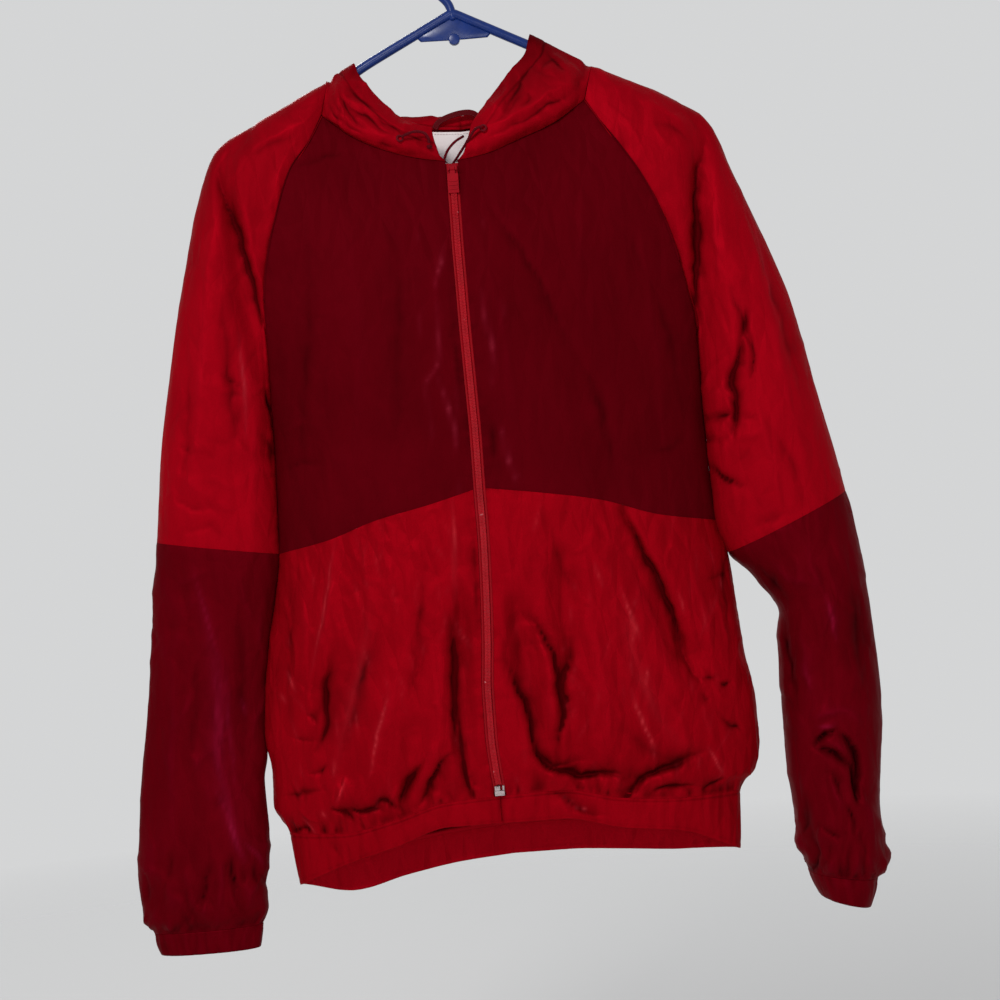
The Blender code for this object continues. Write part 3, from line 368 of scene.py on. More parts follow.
def levels(at, lo, hi, step):
    """Levels from lo to hi whose sections lie about step apart; at(v) gives a line of points."""
    v = np.linspace(lo, hi, 500)
    p = at(v)
    run = np.concatenate([[0], np.cumsum(np.linalg.norm(np.diff(p, axis=0), axis=1))])
    n = max(3, int(round(run[-1] / (step * FINE))))
    return np.interp(np.linspace(0, run[-1], n + 1), run, v)


# -------------------------------------------------------------- value noise
def lattice(seed):
    return np.random.RandomState(seed).rand(64, 64) * 2 - 1


def noise2(a, b, seed):
    """Smooth noise from -1 to 1 over the plane."""
    table = lattice(seed)
    ia, ib = np.floor(a).astype(int), np.floor(b).astype(int)
    fa, fb = a - ia, b - ib
    fa, fb = fa ** 3 * (fa * (6 * fa - 15) + 10), fb ** 3 * (fb * (6 * fb - 15) + 10)
    g = lambda i, j: table[(ia + i) % 64, (ib + j) % 64]
    return (g(0, 0) * (1 - fa) + g(1, 0) * fa) * (1 - fb) + (g(0, 1) * (1 - fa) + g(1, 1) * fa) * fb


def crumple(a, b, seed):
    """Thin ridges between soft facets, as crushed nylon has them, about 0 to 1."""
    n = 1 - np.abs(noise2(a + 0.7 * noise2(a * 0.6, b * 0.6, seed + 1), b + 0.7 * noise2(a * 0.6 + 9, b * 0.6, seed + 2), seed))
    return n ** 4


# ------------------------------------------------------------------ creases
def stroke_field(x, z, strokes, wander=1.0):
    """Height and shade of creases at points (x, z).

    A crease runs through points of the picture; depth is out of the cloth
    (negative is a trough), skew makes one flank steeper than the other."""
    height, shade = np.zeros(x.shape), np.zeros(x.shape)
    # the lines wander a little, so no edge runs quite smooth
    broken = 0.85 + 0.55 * noise2(x / 8.0, z / 13.0, 305)
    x, z = (x + wander * (1.7 * noise2(x / 11.0, z / 15.0, 301) + 0.8 * noise2(x / 4.8, z / 6.4, 302)),
            z + wander * (1.7 * noise2(x / 10.0, z / 14.0, 303) + 0.8 * noise2(x / 4.6, z / 6.0, 304)))
    for k, (width, depth, skew, pts) in enumerate(strokes):
        p = smooth_path(pts, max(8, 6 * len(pts)))
        if wander >= 1.0:
            # one flank is steep and the other runs out, as in crushed cloth
            steep = min(0.62, 2.2 * abs(skew) + 0.10, max(0.0, 1 - 2.1 / width))
            skew = steep * (1 if skew > 0 or (skew == 0 and k % 2) else -1)
        reach = 3.2 * width * (1 + abs(skew))
        near = ((x > p[:, 0].min() - reach) & (x < p[:, 0].max() + reach)
                & (z > p[:, 1].min() - reach) & (z < p[:, 1].max() + reach))
        if not near.any():
            continue
        qx, qz = x[near], z[near]
        best, signed, along = np.full(qx.shape, 1e9), np.zeros(qx.shape), np.zeros(qx.shape)
        n = len(p) - 1
        for i in range(n):
            dx, dz = p[i + 1] - p[i]
            ll = max(dx * dx + dz * dz, 1e-9)
            t = np.clip(((qx - p[i, 0]) * dx + (qz - p[i, 1]) * dz) / ll, 0, 1)
            ex, ez = qx - p[i, 0] - t * dx, qz - p[i, 1] - t * dz
            d = np.hypot(ex, ez)
            closer = d < best
            best = np.where(closer, d, best)
            signed = np.where(closer, np.sign(dx * ez - dz * ex), signed)
            along = np.where(closer, (i + t) / n, along)
        w = width * (1 + skew * signed) * (0.55 + 0.45 * np.sin(np.pi * np.clip(along, 0, 1)))
        taper = np.sin(np.pi * np.clip(along * 0.94 + 0.03, 0, 1)) ** 0.7
        form = np.exp(-(best / w) ** 1.25) * taper
        height[near] += depth * form
        # painted shade: darker along a trough, lighter along a ridge
        strength = np.sign(depth) * min(abs(depth) / 3.0, 1.5)
        shade[near] += strength * (1.00 * form ** 3.2 * broken[near] + 0.32 * form ** 0.8)
    return height, shade


def photo_strokes(tags, depth=-36.0):
    """The creases with one of these tags, in millimetres."""
    out = []
    for tag, width, deep, skew, *line in CREASES:
        if tag in tags:
            pts = [on_photo(line[i], line[i + 1], depth) for i in range(0, len(line), 2)]
            if deep < -2.1 and tag in "lsf":
                # a deep fold: a narrow sharp trough in a soft wide one
                out.append((max(2.2, width * 0.58), deep * 1.15, skew, pts))
                out.append((width * 1.35, deep * 0.28, skew, pts))
            else:
                out.append((width, deep, skew, pts))
    return out


def loose_strokes(seed, n, x0, x1, z0, z1, angle, spread, length, width, depth):
    """Small creases strewn evenly over a field, about one direction (degrees from upright)."""
    rng = random.Random(seed)
    out = []
    for i in range(n):
        cx, cz = rng.uniform(x0, x1), rng.uniform(z0, z1)
        a = math.radians(angle + rng.gauss(0, spread))
        ln = rng.uniform(*length) / 2
        bend = rng.uniform(-0.25, 0.25) * ln
        dx, dz = math.sin(a), math.cos(a)
        pts = [(cx - dx * ln, cz - dz * ln), (cx - dz * bend, cz + dx * bend), (cx + dx * ln, cz + dz * ln)]
        d = rng.uniform(*depth) * rng.choice((-1, 1, 1))
        out.append((rng.uniform(*width), d, rng.uniform(-0.4, 0.4), pts))
    return out


# ------------------------------------------------------------- cloth pieces
def normals(p, ring=False):
    if ring:
        du = np.roll(p, -1, 1) - np.roll(p, 1, 1)
    else:
        du = np.gradient(p, axis=1)
    dv = np.gradient(p, axis=0)
    n = np.cross(du, dv)
    return n / np.maximum(np.linalg.norm(n, axis=-1, keepdims=True), 1e-9)


def border_gap(p, ring=False):
    """Distance of every point to the nearest border of its grid, in millimetres."""
    run_v = np.concatenate([np.zeros((1, p.shape[1])),
                            np.cumsum(np.linalg.norm(np.diff(p, axis=0), axis=2), axis=0)])
    gaps = [run_v, run_v[-1] - run_v]
    if not ring:
        run_u = np.concatenate([np.zeros((p.shape[0], 1)),
                                np.cumsum(np.linalg.norm(np.diff(p, axis=1), axis=2), axis=1)], 1)
        gaps += [run_u, run_u[:, -1:] - run_u]
    return gaps


def shell(name, node, points, material_, inside, height=None, shade=None, ring=False,
          thick=0.45, lips=("top", "bottom", "left", "right"), lip_depth=1.3, glint=None,
          allowance=0.0):
    """A thin cloth shell on a grid of points, its creases pressed along the normals."""
    p = points.copy()
    n = normals(p, ring)
    toward = np.asarray(inside, float)
    if np.mean(np.sum(n * (p - toward), -1)) < 0:
        n = -n
    if height is not None:
        p = p + n * height[..., None]
    shade = np.zeros(p.shape[:2]) if shade is None else shade
    glint = np.zeros(p.shape[:2]) if glint is None else glint
    # a line close to each seamed border, so that the border stays crisp
    def close_line(arrays, a, b, axis):
        q = arrays[0]
        first, second = np.take(q, a, axis), np.take(q, b, axis)
        f = 0.22 / np.maximum(np.linalg.norm(second - first, axis=-1), 0.3)
        f = np.clip(f, 0.02, 0.5)
        out = []
        for arr in arrays:
            one, two = np.take(arr, a, axis), np.take(arr, b, axis)
            ff = f[..., None] if arr.ndim == 3 else f
            line = np.expand_dims(one + (two - one) * ff, axis)
            at = 1 if a == 0 else arr.shape[axis] - 1
            head = arr[:at] if axis == 0 else arr[:, :at]
            tail = arr[at:] if axis == 0 else arr[:, at:]
            out.append(np.concatenate([head, line, tail], axis))
        return out

    for name_, a, b, axis in (("left", 0, 1, 1), ("right", -1, -2, 1), ("top", 0, 1, 0), ("bottom", -1, -2, 0)):
        if name_ in lips and not (ring and axis == 1):
            p, n, shade, glint = close_line([p, n, shade, glint], a, b, axis)

    # turned-in lips along the seams
    def lip(line, nxt, nl):
        out = line - nxt
        out = out / np.maximum(np.linalg.norm(out, axis=-1, keepdims=True), 1e-9)
        if allowance:
            return [line + out * 0.03 - nl * 0.40, line - nl * lip_depth, line + out * allowance - nl * (lip_depth + 0.25)]
        return [line + out * 0.03 - nl * 0.45, line - nl * lip_depth]

    if not ring:
        for name_, a, b in (("left", 0, 1), ("right", -1, -2)):
            if name_ in lips:
                cols = [q[:, None] for q in lip(p[:, a], p[:, b], n[:, a])]
                k = len(cols)
                p = np.concatenate(cols[::-1] + [p] if a == 0 else [p] + cols, 1)
                pad = ((0, 0), (k, 0)) if a == 0 else ((0, 0), (0, k))
                n = np.pad(n, pad + ((0, 0),), mode="edge")
                shade, glint = (np.pad(q, pad, mode="edge") for q in (shade, glint))
    for name_, a, b in (("top", 0, 1), ("bottom", -1, -2)):
        if name_ in lips:
            added = [q[None] for q in lip(p[a], p[b], n[a])]
            k = len(added)
            p = np.concatenate(added[::-1] + [p] if a == 0 else [p] + added, 0)
            pad = ((k, 0), (0, 0)) if a == 0 else ((0, k), (0, 0))
            n = np.pad(n, pad + ((0, 0),), mode="edge")
            shade, glint = (np.pad(q, pad, mode="edge") for q in (shade, glint))
    rows_n, cols_n = p.shape[:2]
    idx = np.arange(rows_n * cols_n).reshape(rows_n, cols_n)
    right_ = np.roll(idx, -1, 1) if ring else idx[:, 1:]
    left_ = idx if ring else idx[:, :-1]
    quads = np.stack([left_[:-1], right_[:-1], right_[1:], left_[1:]], -1).reshape(-1, 4)
    flat = p.reshape(-1, 3)
    a, b, c = flat[quads[:, 0]], flat[quads[:, 1]], flat[quads[:, 2]]
    if np.sum(np.cross(b - a, c - a) * n.reshape(-1, 3)[quads[:, 0]]) < 0:
        quads = quads[:, ::-1]
    mesh = bpy.data.meshes.new(name)
    mesh.vertices.add(len(flat))
    mesh.vertices.foreach_set("co", (flat * MM).astype(np.float32).ravel())
    mesh.loops.add(quads.size)
    mesh.loops.foreach_set("vertex_index", quads.astype(np.int32).ravel())
    mesh.polygons.add(len(quads))
    mesh.polygons.foreach_set("loop_start", np.arange(0, quads.size, 4, dtype=np.int32))
    mesh.polygons.foreach_set("use_smooth", np.ones(len(quads), bool))
    mesh.update(calc_edges=True)
    # running lengths along the cloth, for its weave
    run_u = np.concatenate([np.zeros((rows_n, 1)), np.cumsum(np.linalg.norm(np.diff(p, axis=1), axis=2), axis=1)], 1)
    run_v = np.concatenate([np.zeros((1, cols_n)), np.cumsum(np.linalg.norm(np.diff(p, axis=0), axis=2), axis=0)])
    uv = np.stack([run_u, run_v], -1).reshape(-1, 2) * MM
    layer = mesh.uv_layers.new(name="cloth")
    layer.data.foreach_set("uv", uv[quads.ravel()].astype(np.float32).ravel())
    # the painted shade goes in as the fold attribute, the painted lines of shine as the glint attribute
    for key, value in (("fold", shade), ("glint", glint)):
        attribute = mesh.attributes.new(key, "FLOAT", "POINT")
        attribute.data.foreach_set("value", value.astype(np.float32).ravel())
    mesh.materials.append(material_)
    ob = bpy.data.objects.new(name, mesh)
    bpy.context.scene.collection.objects.link(ob)
    mod = ob.modifiers.new("cloth", "SOLIDIFY")
    mod.thickness = thick * MM
    mod.offset = -1.0
    place(ob, GARMENT, node)
    return ob


def place(ob, body_name, node=None):
    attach(ob, body_name)
    if node:
        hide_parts(*([node] if isinstance(node, str) else node))
    return ob


# ---------------------------------------------------------------- materials
def new_material(name):
    mat = bpy.data.materials.new(name)
    mat.use_nodes = True
    tree = mat.node_tree
    tree.nodes.clear()
    out = tree.nodes.new("ShaderNodeOutputMaterial")
    bsdf = tree.nodes.new("ShaderNodeBsdfPrincipled")
    tree.links.new(bsdf.outputs[0], out.inputs[0])
    return mat, tree, bsdf


class Build:
    """Short names for wiring a node tree."""

    def __init__(self, tree):
        self.t = tree

    def add(self, kind, **settings):
        node = self.t.nodes.new("ShaderNode" + kind)
        for k, v in settings.items():
            setattr(node, k, v)
        return node

    def put(self, value, socket):
        if hasattr(value, "is_output") or hasattr(value, "links"):
            self.t.links.new(value, socket)
        else:
            socket.default_value = value

    def math(self, op, a, b=0.0, c=0.0, clamp=False):
        n = self.add("Math", operation=op, use_clamp=clamp)
        for i, v in enumerate((a, b, c)):
            self.put(v, n.inputs[i])
        return n.outputs[0]

    def coords(self, scale=(1, 1, 1), kind="Object"):
        tc = self.add("TexCoord")
        m = self.add("Mapping")
        m.inputs["Scale"].default_value = scale
        self.put(tc.outputs[kind], m.inputs[0])
        return m.outputs[0]

    def noise(self, vec, scale, detail=3.0, rough=0.55, kind="FBM", distortion=0.0):
        n = self.add("TexNoise")
        n.noise_type = kind
        n.inputs["Scale"].default_value = scale
        n.inputs["Detail"].default_value = detail
        n.inputs["Roughness"].default_value = rough
        n.inputs["Distortion"].default_value = distortion
        self.put(vec, n.inputs["Vector"])
        return n.outputs["Fac"]

    def ranged(self, value, lo, hi, to_lo=0.0, to_hi=1.0):
        n = self.add("MapRange")
        for key, v in (("From Min", lo), ("From Max", hi), ("To Min", to_lo), ("To Max", to_hi)):
            n.inputs[key].default_value = v
        self.put(value, n.inputs["Value"])
        return n.outputs[0]

    def mix(self, fac, a, b, blend="MIX"):
        n = self.add("Mix", data_type="RGBA", blend_type=blend)
        self.put(fac, n.inputs["Factor"])
        for v, key in ((a, "A"), (b, "B")):
            sockets = [s for s in n.inputs if s.name == key and s.type == "RGBA"]
            self.put((*v, 1.0) if isinstance(v, tuple) and len(v) == 3 else v, sockets[0])
        return [s for s in n.outputs if s.type == "RGBA"][0]

    def bump(self, height, strength, distance, below=None):
        n = self.add("Bump")
        n.inputs["Strength"].default_value = strength
        n.inputs["Distance"].default_value = distance
        self.put(height, n.inputs["Height"])
        if below is not None:
            self.put(below, n.inputs["Normal"])
        return n.outputs[0]

    def attribute(self, name):
        return self.add("Attribute", attribute_type="GEOMETRY", attribute_name=name).outputs["Fac"]


def nylon(name, base, dark, bright, sheen_line, rough=0.40, crush=0.55, satin=0.25):
    """Crushed satin nylon: facets and fine crinkles, a faint weave, painted shade in the creases, painted lines of
    shine.
    """
    mat, tree, bsdf = new_material(name)
    b = Build(tree)
    obj = b.coords()
    tall = b.coords((1, 1, 0.30))
    fold, glint = b.attribute("fold"), b.attribute("glint")
    # colour: cloudy between two dye tones; painted shade darkens it down in the creases, painted light lifts it on the
    # crests
    cloud = b.ranged(b.noise(obj, 11.0, 1.0, 0.6), 0.3, 0.7)
    fine = b.noise(tall, 62.0, 2.0, 0.6)
    tone = b.math("MULTIPLY_ADD", cloud, 0.5, b.math("MULTIPLY", b.ranged(fine, 0.32, 0.70), 0.5))
    color = b.mix(tone, tuple(c * 0.86 for c in base), tuple(c * 1.10 for c in base))
    deep = b.math("MULTIPLY", b.math("SUBTRACT", 0.0, fold, clamp=True), 0.90, clamp=True)
    color = b.mix(deep, color, dark)
    lift = b.math("MULTIPLY", b.math("MAXIMUM", fold, 0.0), 0.55, clamp=True)
    color = b.mix(lift, color, bright)
    # painted highlights: thin lines of shine along the crests
    shine = b.math("MULTIPLY", glint, 0.85, clamp=True)
    color = b.mix(shine, color, sheen_line)
    b.put(color, bsdf.inputs["Base Color"])
    b.put(b.ranged(fine, 0.3, 0.7, rough - 0.05, rough + 0.08), bsdf.inputs["Roughness"])
    bsdf.inputs["Metallic"].default_value = satin
    bsdf.inputs["Specular IOR Level"].default_value = 0.03
    bsdf.inputs["Specular Tint"].default_value = (0.75, 0.10, 0.14, 1.0)
    # relief: crushed facets, long fine crinkles, then the weave itself
    vor = b.add("TexVoronoi", feature="DISTANCE_TO_EDGE")
    vor.inputs["Scale"].default_value = 58.0
    b.put(b.coords((1, 1, 0.42)), vor.inputs["Vector"])
    facets = b.ranged(vor.outputs["Distance"], 0.0, 0.30)
    crinkle = b.noise(tall, 120.0, 2.0, 0.6, kind="RIDGED_MULTIFRACTAL")
    weft = b.add("TexWave", wave_type="BANDS", bands_direction="X")
    warp = b.add("TexWave", wave_type="BANDS", bands_direction="Y")
    for wv in (weft, warp):
        wv.inputs["Scale"].default_value = 420.0
        b.put(b.coords((1, 1, 1), "UV"), wv.inputs["Vector"])
    weave = b.math("MULTIPLY", weft.outputs["Fac"], warp.outputs["Fac"])
    small = b.noise(tall, 300.0, 1.0, 0.5, kind="RIDGED_MULTIFRACTAL")
    height = b.math("MULTIPLY_ADD", facets, 0.30, b.math("MULTIPLY", crinkle, 0.20))
    height = b.math("MULTIPLY_ADD", small, 0.06, height)
    height = b.math("MULTIPLY_ADD", weave, 0.02, height)
    b.put(b.bump(height, min(1.0, crush * 1.25), 0.0030), bsdf.inputs["Normal"])
    return mat


def simple(name, base, rough, spec=0.5, metallic=0.0, spots=None, bump=None, coat=0.0, sheen=0.0,
           clouds=60.0, shift=0.14):
    """A material with a cloudy colour and a fine relief; spots is (colour, scale, share)."""
    mat, tree, bsdf = new_material(name)
    b = Build(tree)
    obj = b.coords()
    cloud = b.ranged(b.noise(obj, clouds, 3.0), 0.3, 0.7)
    color = b.mix(cloud, tuple(c * (1 - shift) for c in base), tuple(min(1, c * (1 + shift)) for c in base))
    if spots:
        tint, scale, share = spots
        speck = b.ranged(b.noise(obj, scale, 1.0), 1 - share, 1 - share * 0.5)
        color = b.mix(speck, color, tint)
    b.put(color, bsdf.inputs["Base Color"])
    b.put(b.ranged(b.noise(obj, 140.0, 2.0), 0.3, 0.7, max(0.05, rough - 0.07), rough + 0.08), bsdf.inputs["Roughness"])
    bsdf.inputs["Metallic"].default_value = metallic
    bsdf.inputs["Specular IOR Level"].default_value = spec
    bsdf.inputs["Coat Weight"].default_value = coat
    bsdf.inputs["Coat Roughness"].default_value = 0.2
    bsdf.inputs["Sheen Weight"].default_value = sheen
    scale, strength, distance = bump or (900.0, 0.1, 0.0001)
    b.put(b.bump(b.noise(obj, scale, 2.0), strength, distance), bsdf.inputs["Normal"])
    return mat


def woven(name, base, rough, pitch, along=(1, 1), strength=0.5, depth=0.0003, spots=None, second=None):
    """Tape, ribbing or cord: crossed threads drawn along the cloth's own lengths."""
    mat, tree, bsdf = new_material(name)
    b = Build(tree)
    uvc = b.coords((along[0], along[1], 1), "UV")
    one = b.add("TexWave", wave_type="BANDS", bands_direction="X")
    two = b.add("TexWave", wave_type="BANDS", bands_direction="Y")
    for wv in (one, two):
        wv.inputs["Scale"].default_value = 0.314 / pitch
        wv.inputs["Distortion"].default_value = 0.4
        b.put(uvc, wv.inputs["Vector"])
    threads = b.math("MULTIPLY", one.outputs["Fac"], two.outputs["Fac"])
    cloud = b.ranged(b.noise(b.coords(), 45.0, 4.0), 0.3, 0.7)
    tone = b.math("MULTIPLY_ADD", threads, 0.5, b.math("MULTIPLY", cloud, 0.5))
    color = b.mix(tone, second or tuple(c * 0.72 for c in base), tuple(min(1, c * 1.12) for c in base))
    if spots:
        tint, scale, share = spots
        speck = b.ranged(b.noise(b.coords(), scale, 1.0), 1 - share, 1 - share * 0.5)
        color = b.mix(speck, color, tint)
    b.put(color, bsdf.inputs["Base Color"])
    b.put(b.ranged(cloud, 0, 1, rough - 0.05, rough + 0.08), bsdf.inputs["Roughness"])
    bsdf.inputs["Specular IOR Level"].default_value = 0.08
    b.put(b.bump(threads, strength, depth), bsdf.inputs["Normal"])
    return mat


# each nylon: base colour, then the colours of its painted shade, its painted light and its painted lines of shine
RED = nylon("red_nylon", (0.270, 0.0005, 0.0050), (0.034, 0.0001, 0.0007), (0.330, 0.0012, 0.0075),
            (0.66, 0.045, 0.060), rough=0.41, crush=0.62, satin=0.26)
RED_UP = nylon("red_nylon_sleeve", (0.312, 0.0006, 0.0062), (0.045, 0.0002, 0.0012), (0.350, 0.0014, 0.0085),
               (0.50, 0.045, 0.065), rough=0.47, crush=0.50, satin=0.20)
MAROON = nylon("maroon_nylon", (0.090, 0.0003, 0.0030), (0.022, 0.0001, 0.0008), (0.118, 0.0006, 0.0052),
               (0.32, 0.020, 0.042), rough=0.50, crush=0.36, satin=0.16)
MAROON_LOW = nylon("maroon_nylon_sleeve", (0.112, 0.0003, 0.0036), (0.018, 0.0001, 0.0007), (0.150, 0.0008, 0.0090),
                   (0.30, 0.008, 0.040), rough=0.43, crush=0.50, satin=0.24)
ZIP_TAPE = woven("zip_tape_weave", (0.340, 0.0012, 0.007), 0.52, 0.0011, strength=0.5)
# the pale specks on the teeth and on the slider are painted glints
TEETH = simple("zip_teeth_plastic", (0.360, 0.0020, 0.009), 0.36, 0.10, spots=((0.72, 0.26, 0.28), 210.0, 0.27))
SLIDER = simple("slider_painted", (0.300, 0.0015, 0.008), 0.42, 0.06, spots=((0.50, 0.08, 0.10), 300.0, 0.14))
CORD = woven("drawcord_braid", (0.170, 0.0025, 0.0090), 0.62, 0.0016, along=(40, 1), strength=0.6,
             second=(0.040, 0.0008, 0.003))
LABEL = woven("label_weave", (0.960, 0.850, 0.850), 0.70, 0.0007, strength=0.35, depth=0.0001, second=(0.88, 0.76, 0.76))
LOOP = woven("loop_tape", (0.120, 0.0006, 0.004), 0.62, 0.0008, strength=0.5)
THREAD = simple("sewing_thread", (0.200, 0.0020, 0.008), 0.6, 0.3, sheen=0.2)
THREAD_PALE = simple("label_thread", (0.60, 0.48, 0.48), 0.6, 0.3, sheen=0.2)
BLUE = simple("hanger_plastic", (0.0030, 0.022, 0.150), 0.30, 0.35, coat=0.0, bump=(120.0, 0.06, 0.0004))
SILVER = simple("box_metal", (0.40, 0.34, 0.34), 0.45, 0.5, metallic=1.0, bump=(700.0, 0.15, 0.0001))
EYELET = woven("eyelet_thread", (0.130, 0.002, 0.007), 0.6, 0.0009, strength=0.5)
